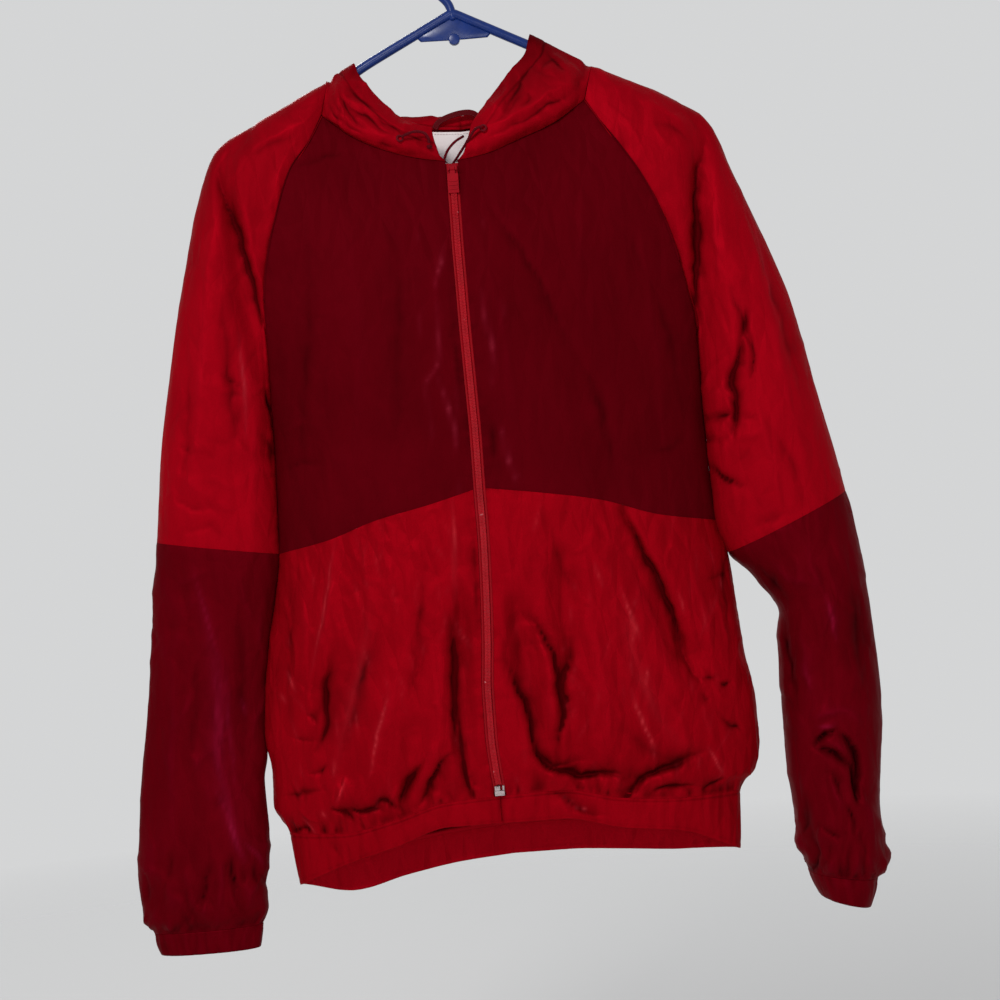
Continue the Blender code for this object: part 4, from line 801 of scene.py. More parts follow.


# Creases listed one by one: panel tag, half width and depth in millimetres (a
# trough is negative), skew, then points of the picture that the line passes.
# c chest, l lower front, s upper sleeve, f forearm, h hood, w waistband.
CREASES = [
    ("c", 3.0, -1.6, 0.3, 297, 162, 320, 155, 343, 149),
    ("c", 4.5, -2.2, -0.2, 490, 205, 506, 229, 524, 254, 536, 277, 553, 311, 571, 346),
    ("c", 7.0, -1.4, 0.0, 571, 346, 586, 372, 597, 400, 607, 440, 612, 471, 620, 492),
    ("c", 7.0, 1.3, 0.0, 470, 225, 486, 260, 497, 300, 505, 350, 512, 420, 520, 480),
    ("c", 3.5, 1.5, 0.4, 443, 235, 436, 279, 438, 319, 437, 366, 426, 386, 430, 416),
    ("c", 3.5, 1.4, -0.3, 437, 377, 449, 407, 457, 438, 455, 462, 456, 484),
    ("c", 5.0, -1.6, 0.2, 451, 250, 450, 300, 455, 350, 463, 400, 468, 440, 472, 478),
    ("c", 3.5, 1.5, 0.3, 480, 275, 485, 319, 492, 346, 494, 390, 496, 418),
    ("c", 4.0, 1.2, 0.0, 497, 415, 505, 445, 512, 470, 520, 491),
    ("c", 5.0, -1.5, 0.0, 484, 400, 492, 440, 500, 484),
    ("c", 9.0, -1.0, 0.0, 300, 200, 310, 280, 306, 360, 300, 440, 296, 520),
    ("c", 8.0, 1.1, 0.0, 335, 190, 352, 270, 360, 350, 356, 430, 350, 500),
    ("c", 9.0, -0.9, 0.0, 395, 200, 400, 290, 398, 380, 402, 470),
    ("c", 8.0, 0.9, 0.0, 640, 220, 652, 300, 660, 380, 668, 470),
    ("c", 9.0, -1.0, 0.0, 600, 200, 640, 260, 668, 330, 684, 400, 694, 470),
    ("c", 4.0, -1.2, 0.2, 690, 430, 672, 446, 650, 452),
    ("c", 3.5, -1.1, 0.2, 276, 470, 300, 462, 322, 464),
    ("c", 3.0, 0.9, 0.2, 276, 436, 296, 424, 318, 424),
    ("l", 16.0, -1.3, 0.0, 457, 560, 459, 640, 462, 740),
    ("l", 14.0, -1.2, 0.0, 512, 560, 516, 640, 524, 720),
    ("l", 12.0, -1.0, 0.0, 596, 690, 640, 742, 700, 772),
    ("l", 12.0, -1.0, 0.0, 330, 640, 320, 700, 306, 760),
    ("l", 6.0, -4.6, -0.2, 618, 486, 620, 494, 622, 504, 634, 530, 648, 560, 659, 579, 668, 602, 678, 633, 686, 656, 703, 684),
    ("l", 8.0, 2.2, 0.0, 603, 520, 630, 570, 652, 622, 664, 660, 682, 694),
    ("l", 7.0, -4.4, 0.25, 504, 657, 517, 682, 527, 702, 531, 728, 537, 752, 556, 765, 577, 761),
    ("l", 6.0, -3.2, 0.2, 523, 613, 536, 627, 552, 652, 558, 682, 559, 713),
    ("l", 6.5, -3.6, -0.2, 566, 630, 571, 652, 565, 684, 565, 709, 558, 738, 558, 763),
    ("l", 6.0, 2.0, 0.0, 540, 640, 548, 680, 548, 720, 550, 752),
    ("l", 8.0, 2.4, 0.0, 590, 610, 600, 660, 606, 710, 608, 752),
    ("l", 7.0, -5.2, 0.2, 536, 752, 550, 768, 572, 774, 590, 777, 614, 774, 628, 784),
    ("l", 7.0, -5.6, 0.25, 604, 800, 626, 799, 641, 785, 662, 771, 684, 763, 703, 755),
    ("l", 4.6, -3.4, 0.1, 652, 795, 664, 789, 678, 788, 696, 787),
    ("l", 4.0, -2.4, 0.2, 704, 790, 714, 786, 725, 781),
    ("l", 3.0, -2.2, 0.3, 724, 719, 733, 726, 744, 734),
    ("l", 3.5, -2.4, 0.0, 722, 684, 728, 687, 734, 684),
    ("l", 3.5, -1.9, 0.0, 700, 679, 712, 677, 724, 675),
    ("l", 3.5, -1.8, 0.0, 701, 692, 706, 700, 712, 698),
    ("l", 4.0, -1.4, 0.0, 709, 580, 722, 578, 734, 574),
    ("l", 3.5, 1.3, 0.0, 716, 600, 724, 620, 730, 652),
    ("l", 4.0, -1.6, 0.0, 732, 540, 728, 580, 732, 630),
    ("l", 7.0, 1.5, 0.0, 690, 560, 704, 610, 716, 650),
    ("l", 6.0, -3.4, 0.2, 331, 655, 326, 682, 325, 710, 325, 727, 319, 743, 311, 753),
    ("l", 6.0, 2.0, 0.0, 338, 545, 330, 590, 322, 640, 310, 682),
    ("l", 4.0, -1.8, 0.2, 305, 715, 312, 720, 318, 724),
    ("l", 3.5, -1.7, 0.2, 288, 739, 302, 741, 318, 740),
    ("l", 3.5, -2.3, 0.2, 310, 774, 319, 772, 326, 764),
    ("l", 4.0, -2.5, 0.3, 282, 798, 295, 798, 305, 794, 320, 791),
    ("l", 4.0, -2.4, 0.3, 286, 839, 300, 833, 313, 837),
    ("l", 4.5, -3.4, 0.3, 331, 811, 343, 815, 354, 824),
    ("l", 4.5, -3.0, 0.3, 345, 814, 360, 812, 376, 808, 384, 813),
    ("l", 6.0, -3.6, 0.0, 372, 806, 388, 801, 402, 810),
    ("l", 6.5, -4.6, 0.25, 426, 754, 414, 772, 406, 789, 402, 811),
    ("l", 6.0, -4.2, 0.25, 450, 753, 438, 768, 429, 786, 418, 806),
    ("l", 6.5, 2.6, 0.0, 438, 740, 424, 765, 414, 800),
    ("l", 6.0, -3.6, 0.0, 452, 610, 454, 650, 455, 700, 455, 726, 454, 754),
    ("l", 6.0, -3.6, -0.2, 458, 708, 462, 743, 467, 773, 472, 796, 471, 813),
    ("l", 6.0, 2.0, 0.0, 440, 640, 438, 690, 440, 735),
    ("l", 8.0, 2.2, 0.0, 408, 640, 394, 690, 380, 735, 366, 780),
    ("l", 9.0, -1.8, 0.0, 385, 600, 372, 650, 356, 700, 344, 760),
    ("l", 7.0, -1.6, 0.0, 425, 540, 424, 590, 418, 650, 410, 700),
    ("l", 5.0, -2.0, 0.0, 484, 700, 487, 730, 491, 757),
    ("l", 8.0, -1.5, 0.0, 283, 560, 290, 620, 286, 680, 290, 740),
    ("l", 6.0, 1.5, 0.0, 298, 560, 306, 620, 302, 680),
    ("l", 5.0, -1.6, 0.0, 470, 505, 474, 560, 478, 610, 480, 660),
    ("l", 5.0, 1.4, 0.0, 500, 500, 508, 560, 520, 610),
    ("l", 6.0, -1.5, 0.0, 545, 510, 560, 560, 580, 610),
    ("s", 5.0, -3.4, 0.2, 214, 168, 229, 216, 240, 251, 251, 291, 263, 326, 268, 352),
    ("s", 5.0, 1.6, 0.0, 232, 180, 246, 226, 256, 268, 264, 300),
    ("s", 4.0, -2.2, 0.0, 262, 385, 268, 403, 268, 425),
    ("s", 3.5, -1.6, 0.0, 258, 430, 268, 445, 270, 470),
    ("s", 9.0, 1.8, 0.0, 238, 158, 212, 230, 202, 320, 196, 420, 186, 520),
    ("s", 8.0, -1.4, 0.0, 214, 250, 222, 330, 230, 410, 232, 500),
    ("s", 7.0, 1.3, 0.0, 240, 330, 250, 400, 254, 470, 252, 525),
    ("s", 6.0, -1.2, 0.0, 184, 350, 186, 420, 176, 500),
    ("s", 4.0, -1.4, 0.2, 168, 498, 190, 508, 216, 510),
    ("s", 4.0, 1.0, 0.2, 205, 478, 228, 486, 250, 484),
    ("s", 4.5, 1.2, 0.0, 262, 138, 290, 124, 310, 112),
    ("s", 4.0, -1.3, 0.0, 252, 150, 276, 138, 296, 134),
    ("s", 5.0, -4.4, -0.1, 707, 136, 702, 167, 699, 203, 700, 239, 701, 274, 699, 310, 697, 340),
    ("s", 6.0, 1.8, 0.0, 722, 150, 718, 200, 718, 250, 718, 300),
    ("s", 6.0, -4.6, 0.2, 744, 330, 736, 361, 729, 382, 734, 396, 734, 432),
    ("s", 4.6, -3.4, 0.0, 728, 396, 733, 410, 733, 428, 735, 436),
    ("s", 4.2, -2.8, 0.0, 748, 306, 745, 322, 744, 336),
    ("s", 3.5, -2.2, 0.0, 744, 322, 754, 352, 749, 380),
    ("s", 3.5, -2.0, 0.2, 730, 286, 740, 314, 750, 341),
    ("s", 4.2, -2.8, 0.0, 708, 418, 719, 416, 731, 412),
    ("s", 4.6, -3.0, 0.0, 708, 465, 724, 476, 744, 487),
    ("s", 3.5, 1.5, 0.0, 706, 398, 718, 392, 728, 380),
    ("s", 3.0, -1.4, 0.0, 706, 440, 720, 440, 732, 436),
    ("s", 9.0, 1.8, 0.0, 716, 130, 742, 200, 766, 290, 788, 390, 812, 490),
    ("s", 8.0, -1.4, 0.0, 738, 180, 764, 260, 790, 340, 810, 420),
    ("s", 7.0, 1.3, 0.0, 752, 400, 770, 450, 780, 500),
    ("s", 6.0, -1.3, 0.0, 770, 420, 794, 470, 806, 505),
    ("s", 4.0, -1.3, 0.2, 752, 530, 776, 518, 800, 512),
    ("s", 4.0, 1.1, 0.0, 640, 96, 664, 106, 688, 122),
    ("s", 4.0, -1.2, 0.0, 650, 120, 672, 124, 694, 140),
    ("f", 4.5, 2.2, 0.2, 200, 590, 207, 625, 219, 673, 214, 720, 217, 760, 226, 805, 236, 848, 250, 884),
    ("f", 8.0, -0.9, 0.0, 178, 560, 186, 620, 192, 690, 190, 760, 196, 830),
    ("f", 7.0, -1.6, 0.0, 236, 600, 240, 660, 240, 720, 242, 780),
    ("f", 5.0, 1.6, 0.0, 168, 640, 170, 710, 168, 790, 172, 860),
    ("f", 4.0, -2.4, 0.2, 196, 912, 204, 890, 206, 866),
    ("f", 4.0, -2.4, 0.2, 240, 898, 232, 880, 228, 858),
    ("f", 3.5, -2.0, 0.0, 160, 900, 166, 876, 164, 850),
    ("f", 3.5, 1.8, 0.0, 218, 912, 220, 884, 216, 858),
    ("f", 3.0, -1.6, 0.0, 180, 918, 182, 896, 186, 880),
    ("f", 3.0, -1.7, 0.0, 256, 900, 252, 882, 252, 866),
    ("f", 4.0, 2.2, 0.2, 822, 590, 831, 617, 839, 643),
    ("f", 6.0, -2.2, 0.0, 784, 612, 790, 652, 798, 704),
    ("f", 5.0, 1.6, 0.0, 802, 620, 806, 664, 812, 706),
    ("f", 4.6, -6.5, 0.25, 814, 748, 824, 738, 838, 729),
    ("f", 4.8, -6.0, -0.25, 838, 729, 850, 742, 858, 758, 861, 775, 859, 802),
    ("f", 3.6, -5.5, 0.2, 815, 748, 830, 753, 844, 762, 852, 770),
    ("f", 3.6, -5.5, 0.2, 852, 764, 856, 784, 862, 806),
    ("f", 4.0, 3.4, -0.2, 815, 738, 824, 730, 836, 721),
    ("f", 4.6, 3.4, 0.2, 826, 746, 838, 750, 848, 757),
    ("f", 5.0, 2.6, 0.0, 812, 722, 828, 714, 846, 711, 864, 724),
    ("f", 4.4, 2.4, 0.0, 828, 768, 836, 790, 838, 812),
    ("f", 3.4, -3.0, 0.2, 846, 806, 853, 820, 855, 836),
    ("f", 4.0, -2.6, 0.2, 820, 824, 831, 834, 842, 842),
    ("f", 4.0, -2.2, 0.0, 826, 770, 838, 780, 842, 800),
    ("f", 6.0, -1.8, 0.0, 846, 560, 856, 610, 862, 660, 866, 710),
    ("f", 4.5, 1.6, 0.0, 770, 560, 790, 578, 812, 584),
    ("f", 4.0, -1.8, 0.0, 760, 566, 778, 588, 790, 604),
    ("f", 4.0, -2.2, 0.2, 812, 890, 818, 868, 818, 846),
    ("f", 3.5, -2.0, 0.0, 848, 886, 850, 862, 852, 842),
    ("f", 3.5, 1.8, 0.0, 832, 892, 834, 868, 832, 850),
    ("f", 3.0, -1.6, 0.0, 868, 868, 866, 850, 868, 834),
    ("f", 4.0, -1.8, 0.0, 806, 790, 808, 826, 806, 862),
    ("h", 2.6, -3.0, 0.2, 338, 92, 345, 102, 352, 116, 364, 130),
    ("h", 2.4, -2.6, 0.0, 346, 84, 356, 92, 366, 104, 376, 112),
    ("h", 2.4, -2.2, 0.2, 328, 104, 336, 116, 348, 126),
    ("h", 2.4, -2.0, 0.0, 366, 108, 384, 122, 402, 134, 414, 142),
    ("h", 2.6, -2.4, 0.2, 530, 60, 522, 80, 508, 106, 496, 124),
    ("h", 2.6, -2.2, 0.0, 548, 50, 556, 62, 566, 70),
    ("h", 2.6, -2.0, 0.0, 500, 152, 520, 146, 544, 134, 562, 122),
    ("h", 3.0, -2.2, 0.2, 350, 100, 353, 109, 361, 114, 371, 122, 380, 129, 393, 136),
    ("h", 3.0, 1.4, 0.0, 342, 92, 358, 104, 378, 118, 400, 130),
    ("h", 2.6, -1.6, 0.0, 346, 119, 353, 128, 362, 134),
    ("h", 2.6, -1.6, 0.0, 378, 143, 386, 147, 395, 150),
    ("h", 3.0, 1.2, 0.0, 330, 112, 348, 130, 370, 144, 398, 152),
    ("h", 2.6, -1.4, 0.0, 330, 96, 338, 108, 346, 116),
    ("h", 2.6, -1.4, 0.0, 405, 132, 415, 138, 424, 143),
    ("h", 3.4, -2.6, 0.2, 493, 139, 509, 131, 530, 119, 551, 106, 565, 97, 577, 88),
    ("h", 3.0, 1.6, 0.0, 488, 128, 506, 122, 526, 110, 548, 96, 566, 84),
    ("h", 2.8, -1.6, 0.0, 520, 108, 528, 98, 526, 92),
    ("h", 2.8, 1.3, 0.0, 500, 150, 528, 140, 556, 122, 580, 104),
    ("h", 2.6, -1.5, 0.0, 505, 116, 512, 106, 522, 92),
    ("h", 2.6, -1.4, 0.0, 540, 72, 548, 60, 556, 54),
    ("w", 5.0, -2.6, 0.3, 544, 782, 563, 797, 584, 812, 607, 817),
    ("w", 3.0, -1.6, 0.0, 330, 838, 334, 852, 341, 862),
    ("w", 5.0, 1.4, 0.0, 548, 800, 566, 812, 590, 824),
]
# Painted highlights, thin lines of shine along crests: panel tag, half width, strength, points.
GLINTS = [
    ("l", 1.1, 0.9, 389, 690, 387, 702, 381, 722, 376, 748, 370, 776),
    ("l", 1.0, 0.6, 346, 779, 342, 790, 338, 802),
    ("l", 0.9, 0.5, 334, 758, 334.5, 768, 334, 778),
    ("l", 1.0, 0.7, 300, 820, 307, 828, 315, 838),
    ("l", 1.0, 0.7, 284, 671, 290, 683, 295, 694),
    ("l", 1.0, 0.6, 278, 694, 281, 700, 284, 706),
    ("l", 1.0, 0.6, 321, 810, 322, 815, 326, 821),
    ("l", 0.9, 0.5, 335, 541, 326, 596, 318, 640, 310, 678),
    ("l", 1.0, 0.6, 453, 500, 454, 540, 455, 580, 454, 606),
    ("l", 1.1, 0.9, 621, 588, 626, 603, 632, 623, 632.5, 652),
    ("l", 1.0, 0.6, 632, 616, 636, 629, 640, 641),
    ("l", 1.1, 0.9, 632, 688, 635, 703, 642, 721, 655, 748),
    ("l", 1.0, 0.7, 741, 650, 745, 660, 750, 673),
    ("l", 1.0, 0.6, 724.5, 577, 726, 592),
    ("l", 1.0, 0.8, 709, 746, 715, 757, 720, 767, 726, 779),
    ("l", 0.9, 0.5, 595, 562, 598, 575, 602, 588),
    ("l", 0.9, 0.5, 648, 664, 647, 675, 646.5, 686),
    ("l", 0.9, 0.4, 678, 590, 683, 604, 686, 616),
    ("l", 7.0, 0.16, 372, 600, 362, 660, 346, 720, 334, 780),
    ("l", 8.0, 0.14, 620, 600, 636, 660, 660, 720, 690, 752),
    ("c", 0.9, 0.8, 443, 243, 441, 262, 436.5, 279, 435.5, 290),
    ("c", 0.9, 0.6, 438, 300, 438, 319, 438, 345, 437, 366, 426, 386, 430, 416),
    ("c", 0.9, 0.8, 437, 377, 449, 407, 457, 438, 454, 454),
    ("c", 0.9, 0.6, 481, 290, 485, 319, 492, 346, 493, 388),
    ("c", 0.9, 0.7, 498, 420, 506, 448, 518, 491),
    ("f", 6.5, 0.45, 196, 596, 206, 640, 214, 700, 214, 760, 224, 810, 240, 864),
    ("f", 1.2, 0.5, 190, 566, 200, 603, 208, 630, 219, 673),
    ("f", 1.1, 0.6, 212, 655, 218, 690, 218, 730, 222, 770),
    ("f", 1.0, 0.5, 224, 664, 224, 700, 228, 750, 234, 800),
    ("f", 1.1, 0.7, 210, 788, 220, 808, 230, 836, 240, 868),
    ("f", 1.0, 0.5, 214, 700, 214, 740, 218, 790),
    ("f", 1.0, 0.6, 238, 842, 252, 858, 264, 876),
    ("f", 1.0, 0.5, 238, 700, 242, 720),
    ("f", 1.2, 0.6, 222, 790, 232, 839, 244, 868),
    ("f", 1.1, 0.8, 824, 594, 831, 617, 838, 642),
    ("f", 1.0, 0.5, 807, 660, 808, 672, 812, 690),
    ("f", 1.0, 0.7, 818, 728, 826, 727, 836, 724),
    ("s", 0.9, 0.4, 236, 330, 242, 380, 244, 440),
    ("s", 0.9, 0.4, 740, 168, 756, 220, 770, 280, 780, 330),
    ("s", 0.9, 0.4, 758, 120, 772, 180),
    ("w", 0.9, 0.6, 566, 797, 570, 806),
    ("w", 0.9, 0.5, 574, 800, 578, 810),
    ("w", 0.9, 0.5, 583, 804, 586, 813),
]


# -------------------------------------------------------- cords, made first
def tube_curve(name, points, radius, mat, resolution=4, cyclic=False):
    cu = bpy.data.curves.new(name, "CURVE")
    cu.dimensions = "3D"
    cu.bevel_depth = radius * MM
    cu.bevel_resolution = resolution
    cu.use_fill_caps = not cyclic
    sp = cu.splines.new("POLY")
    sp.points.add(len(points) - 1)
    for q, p in zip(sp.points, points):
        q.co = (p[0] * MM, p[1] * MM, p[2] * MM, 1)
    sp.use_cyclic_u = cyclic
    sp.use_smooth = True
    cu.materials.append(mat)
    ob = bpy.data.objects.new(name, cu)
    bpy.context.scene.collection.objects.link(ob)
    return ob


RIGHT_PATH = [(18.6, -35.6, -176.6), (13, -35.2, -178.5), (7.5, -32, -184.5), (2, -24, -191),
              (-4, -18, -198), (-10, -16.5, -206), (-13.5, -15.5, -216), (-17.5, -15.5, -220.5),
              (-20.5, -15.5, -214), (-17.4, -16.5, -203), (-13.4, -17.5, -193), (-6, -20, -185.6),
              (2, -26.5, -182.4)]
LEFT_PATH = [(-52.4, -36.8, -181.0), (-47.5, -37.6, -179), (-40, -37.0, -177.2), (-33, -35.6, -178.4),
             (-29.2, -34.2, -182.5), (-28.6, -33, -187.5)]
CORD_R = 1.2
right_pts, left_pts = smooth_path(RIGHT_PATH, 96), smooth_path(LEFT_PATH, 36)
cord_right = tube_curve("cord_right", right_pts, CORD_R, CORD)
cord_left = tube_curve("cord_left", left_pts, CORD_R, CORD)
place(cord_right, GARMENT, "drawcord_right")
place(cord_left, GARMENT, "drawcord_left")

# the left cord's knot: three turns of the cord drawn tight
knot_centre = np.array((-28.5, -32.6, -190.5))
knot_pts = []
for i in range(61):
    a = 2 * math.pi * i / 60
    x, y, z = (math.sin(a) + 1.7 * math.sin(2 * a)) * 0.52, (math.cos(a) - 1.7 * math.cos(2 * a)) * 0.45, -math.sin(3 * a) * 0.75
    knot_pts.append(knot_centre + np.array((x, y, z)) * 1.15)
knot = tube_curve("cord_knot", knot_pts[:-1], 0.95, CORD, 3, cyclic=True)
place(knot, GARMENT, "cord_knot_left")


# -------------------------------------------------------------- the panels
def trim(p, top=0.0, bottom=0.0, left=0.0, right=0.0):
    """Draw the borders of a grid in, to leave the space of a seam."""
    def pull(line, nxt, gap):
        d = nxt - line
        return line + d / np.maximum(np.linalg.norm(d, axis=-1, keepdims=True), 1e-9) * gap
    p = p.copy()
    if top:
        p[0] = pull(p[0], p[1], top)
    if bottom:
        p[-1] = pull(p[-1], p[-2], bottom)
    if left:
        p[:, 0] = pull(p[:, 0], p[:, 1], left)
    if right:
        p[:, -1] = pull(p[:, -1], p[:, -2], right)
    return p


def threads_of_light(seed, n, x0, x1, z0, z1, angle, spread, length, strength):
    """Short thin painted lines of shine strewn over a field, about one direction (degrees from upright)."""
    rng = random.Random(seed)
    out = []
    for i in range(n):
        cx, cz = rng.uniform(x0, x1), rng.uniform(z0, z1)
        a = math.radians(angle + rng.gauss(0, spread))
        ln = rng.uniform(*length) / 2
        bend = rng.uniform(-0.18, 0.18) * ln
        dx, dz = math.sin(a), math.cos(a)
        pts = [(cx - dx * ln, cz - dz * ln), (cx - dz * bend, cz + dx * bend), (cx + dx * ln, cz + dz * ln)]
        out.append((1.5, 3.0 * rng.uniform(*strength), 0, pts))
    return out


def relief(p, tags, seed, loose=(), ring=False, free=(), crush=0.30, inward=None, depth=-36.0,
           front=None, wide=1.55, shine=(), gathers=0.0, mirror=False):
    """Height, shade and glint of a panel: listed creases, strewn small
    ones, crush, and the puckers along its seams. free names open borders."""
    x, z = p[..., 0], p[..., 2]
    x = 12.0 - x if mirror else x
    # painted shade and painted lines of shine from the creases of these tags
    h, shade = stroke_field(x, z, photo_strokes(tags, depth))
    _, glint = stroke_field(x, z, list(shine) + [(max(w, wide), g * 3.0, 0, [on_photo(l[i], l[i + 1], depth) for i in range(0, len(l), 2)])
                                   for tag, w, g, *l in GLINTS if tag in tags], 0.45)
    if front is not None:
        h, shade, glint = h * front, shade * front, glint * front
    h2, s2 = stroke_field(x, z, loose)
    h, shade = h + h2, shade + 0.55 * s2
    c = crumple(x / 15.0 + 3.1, z / 40.0 + 1.7, seed) * 0.9 + crumple(x / 7.0, z / 19.0, seed + 7) * 0.55
    c += 0.45 * noise2(x / 26.0, z / 60.0, seed + 13)
    h = h + crush * (c - 0.35)
    # painted shade: the crush darkens its hollows and lightens its ridges
    shade = shade + 0.10 * (c - 0.5)
    gaps = border_gap(p, ring)
    names = ("top", "bottom", "left", "right")[:len(gaps)]
    for name, g in zip(names, gaps):
        if name in free:
            continue
        run = np.cumsum(np.linalg.norm(np.diff(p, axis=1 if name in ("top", "bottom") else 0,
                                               prepend=p[:, :1] if name in ("top", "bottom") else p[:1]), axis=2),
                        axis=1 if name in ("top", "bottom") else 0)
        pucker = noise2(run / 5.2, g / 16.0, seed + 21) + 0.5 * noise2(run / 2.6, g / 9.0, seed + 22)
        h = h * np.clip(g / 5.0, 0, 1)
        h += 0.30 * pucker * np.exp(-g / 8.0) * np.clip(g / 1.5, 0, 1) - 0.12 * np.exp(-(g / 1.2) ** 2)
        # painted shade: the seam puckers darker and lighter in turn, with a thin dark line right at the seam
        shade += 0.20 * pucker * np.exp(-g / 7.0) - 0.04 * np.exp(-(g / 1.0) ** 2)
        if gathers and name == "bottom":
            # the cloth is drawn up along this seam: small upright tucks of uneven length
            reach = 9.0 + 7.0 * (0.5 + 0.5 * noise2(run / 15.0, 0 * g, seed + 31))
            tuck = noise2(run / 3.9 + 0.3 * noise2(run / 9.0, g / 12.0, seed + 34), g / 30.0, seed + 32)
            tuck = tuck - 0.55 * np.abs(noise2(run / 2.7, g / 22.0, seed + 33))
            there = np.exp(-(g / reach) ** 1.5) * np.clip(g / 2.0, 0.25, 1)
            h += gathers * tuck * there
            # painted shade, darker in the tucks' hollows
            shade += 0.60 * gathers * np.minimum(tuck, 0.15) * there
    if inward is not None:
        h = np.maximum(h, -inward)
    return h, np.clip(shade, -1.6, 1.6), np.clip(glint / 3.0 * 1.5, 0, 1)


PANEL_STEP = 1.62
u_fine = lambda width, step: int(width / (step * FINE))

for side, tag in ((-1, "left"), (1, "right")):
    for part, v0, v1, mat, slot, step in (("chest", 0, 9, MAROON, "nylon_maroon", 2.35),
                                          ("lower", 9, 16, RED, "nylon_red", PANEL_STEP)):
        v = levels(lambda q: body(q, np.array([[side * 0.5]]))[:, 0], v0, v1, step)
        half = np.abs(FRONT("xr" if side > 0 else "xl", v) - FRONT("xz", v))[:, None]
        u = side * round_edge(u_fine(215, step), ZIP_HALF / half)
        p = trim(body(v, u), top=SEAM if part == "chest" else SEAM / 2,
                 bottom=SEAM / 2 if part == "chest" else SEAM, right=SEAM / 2)
        off = np.abs(p[..., 0] - FRONT("xz", v)[:, None])
        lo_z, hi_z = (-540, -160) if part == "chest" else (-770, -500)
        x0, x1 = (8, 200) if side > 0 else (-190, -26)
        if part == "chest":
            loose = loose_strokes(11 + side, 22, x0, x1, lo_z, hi_z, 4 * side, 16, (30, 90), (3, 6), (0.15, 0.45))
        else:
            loose = loose_strokes(31 + side, 60, x0, x1, lo_z, hi_z, 2 * side, 16, (18, 80), (1.9, 3.6), (0.35, 0.95))
            loose += loose_strokes(35 + side, 26, x0, x1, -778, -745, 0, 22, (14, 34), (2.2, 3.6), (0.8, 2.0))
        shine = (threads_of_light(205 + side, 8, -60, 30, -520, -260, 2, 8, (12, 40), (0.10, 0.25)) if part == "chest" else
                 threads_of_light(215 + side, 46, x0, x1, lo_z, hi_z, 6 * side, 13, (10, 38), (0.06, 0.22)))
        h, shade, glint = relief(p, "c" if part == "chest" else "l", 40 + side, loose, shine=shine,
                                 crush=0.16 if part == "chest" else 0.58,
                                 gathers=0.0 if part == "chest" else 1.15)
        h *= np.clip((off - 7) / 12, 0, 1)
        h = np.where(off < 26, np.maximum(h, -0.5 - np.clip(off - 14, 0, 12) / 4), h)
        piece = shell(f"{part}_front_{tag}", f"front_{part}_{tag}", p, mat, (0, 600, -480), h, shade,
                      glint=glint)

for part, v0, v1, mat, slot in (("chest", 0, 9, MAROON, "nylon_maroon"), ("lower", 9, 16, RED, "nylon_red")):
    v = levels(lambda q: body(q, np.array([[0.4]]), front=False)[:, 0], v0, v1, 3.4)
    e = round_edge(u_fine(215, 3.2), 0.0)
    p = trim(body(v, np.concatenate([-e[:0:-1], e])[None], front=False),
             top=SEAM if part == "chest" else SEAM / 2, bottom=SEAM / 2 if part == "chest" else SEAM,
             left=SEAM / 2, right=SEAM / 2)
    if part == "chest":
        loose = loose_strokes(51, 60, -185, 195, -535, -180, 0, 18, (40, 120), (4, 9), (0.5, 1.4))
    else:
        loose = loose_strokes(61, 70, -200, 215, -790, -500, 0, 16, (40, 130), (4, 9), (0.8, 2.2))
        loose += loose_strokes(62, 60, -200, 215, -825, -770, 0, 18, (20, 50), (3, 5), (1.0, 2.4))
    h, shade, glint = relief(p, "c" if part == "chest" else "l", 70, loose, crush=0.4, front=0.6,
                             wide=2.6, gathers=0.0 if part == "chest" else 1.0, mirror=True)
    shell(f"back_{part}_panel", f"back_{part}", p, mat, (0, -600, -480), h, shade)

# ------------------------------------------------------------- waistband
STEP_W = 2.2
v = np.linspace(16.0, 17.0, int(48 / (STEP_W * FINE)))
half_l = np.abs(FRONT("xl", v) - FRONT("xz", v))[:, None]
half_r = np.abs(FRONT("xr", v) - FRONT("xz", v))[:, None]
ends = round_edge(u_fine(215, STEP_W), 0.0)
fl = body(v, -(0.3 / half_l + (1 - 0.3 / half_l) * ends[:-1]))
fr = body(v, (0.3 / half_r + (1 - 0.3 / half_r) * ends[:-1]))[:, ::-1]
e = round_edge(u_fine(215, STEP_W), 0.0)
bk = body(v, np.concatenate([-e[:0:-1], e])[None], front=False)
p = np.concatenate([fl, bk, fr], 1)
run = np.concatenate([[0], np.cumsum(np.linalg.norm(np.diff(p[len(v) // 2], axis=0), axis=1))])[None]
drop = np.linspace(0, 1, len(v))[:, None]
is_front = (np.arange(p.shape[1]) < fl.shape[1]) | (np.arange(p.shape[1]) >= fl.shape[1] + bk.shape[1])
h, shade = stroke_field(p[..., 0], p[..., 2], photo_strokes("w", -38))
h, shade = h * is_front, shade * is_front
gather = noise2(run / 4.4 + 0 * drop, drop * 1.3, 81) + 0.6 * noise2(run / 2.1, drop * 2.0, 82)
mid = np.sin(np.pi * np.clip(drop, 0, 1))
h = h * mid + 0.42 * gather * (0.35 + 0.65 * mid) + 0.55 * np.sin(np.pi * drop) ** 0.5 - 0.3
# painted shade: darker in the gathers and along the two sunk lines near the band's edges
shade = shade + 0.16 * gather
h -= 0.35 * np.exp(-((drop - 0.10) / 0.03) ** 2)
h -= 0.25 * np.exp(-((drop - 0.90) / 0.03) ** 2)
shade -= 0.35 * np.exp(-((drop - 0.10) / 0.03) ** 2) + 0.15 * np.exp(-((drop - 0.90) / 0.03) ** 2)
_, glint = stroke_field(p[..., 0], p[..., 2], [(w, g * 3.0, 0, [on_photo(l[i], l[i + 1], -38) for i in range(0, len(l), 2)])
                                               for tag, w, g, *l in GLINTS if tag == "w"])
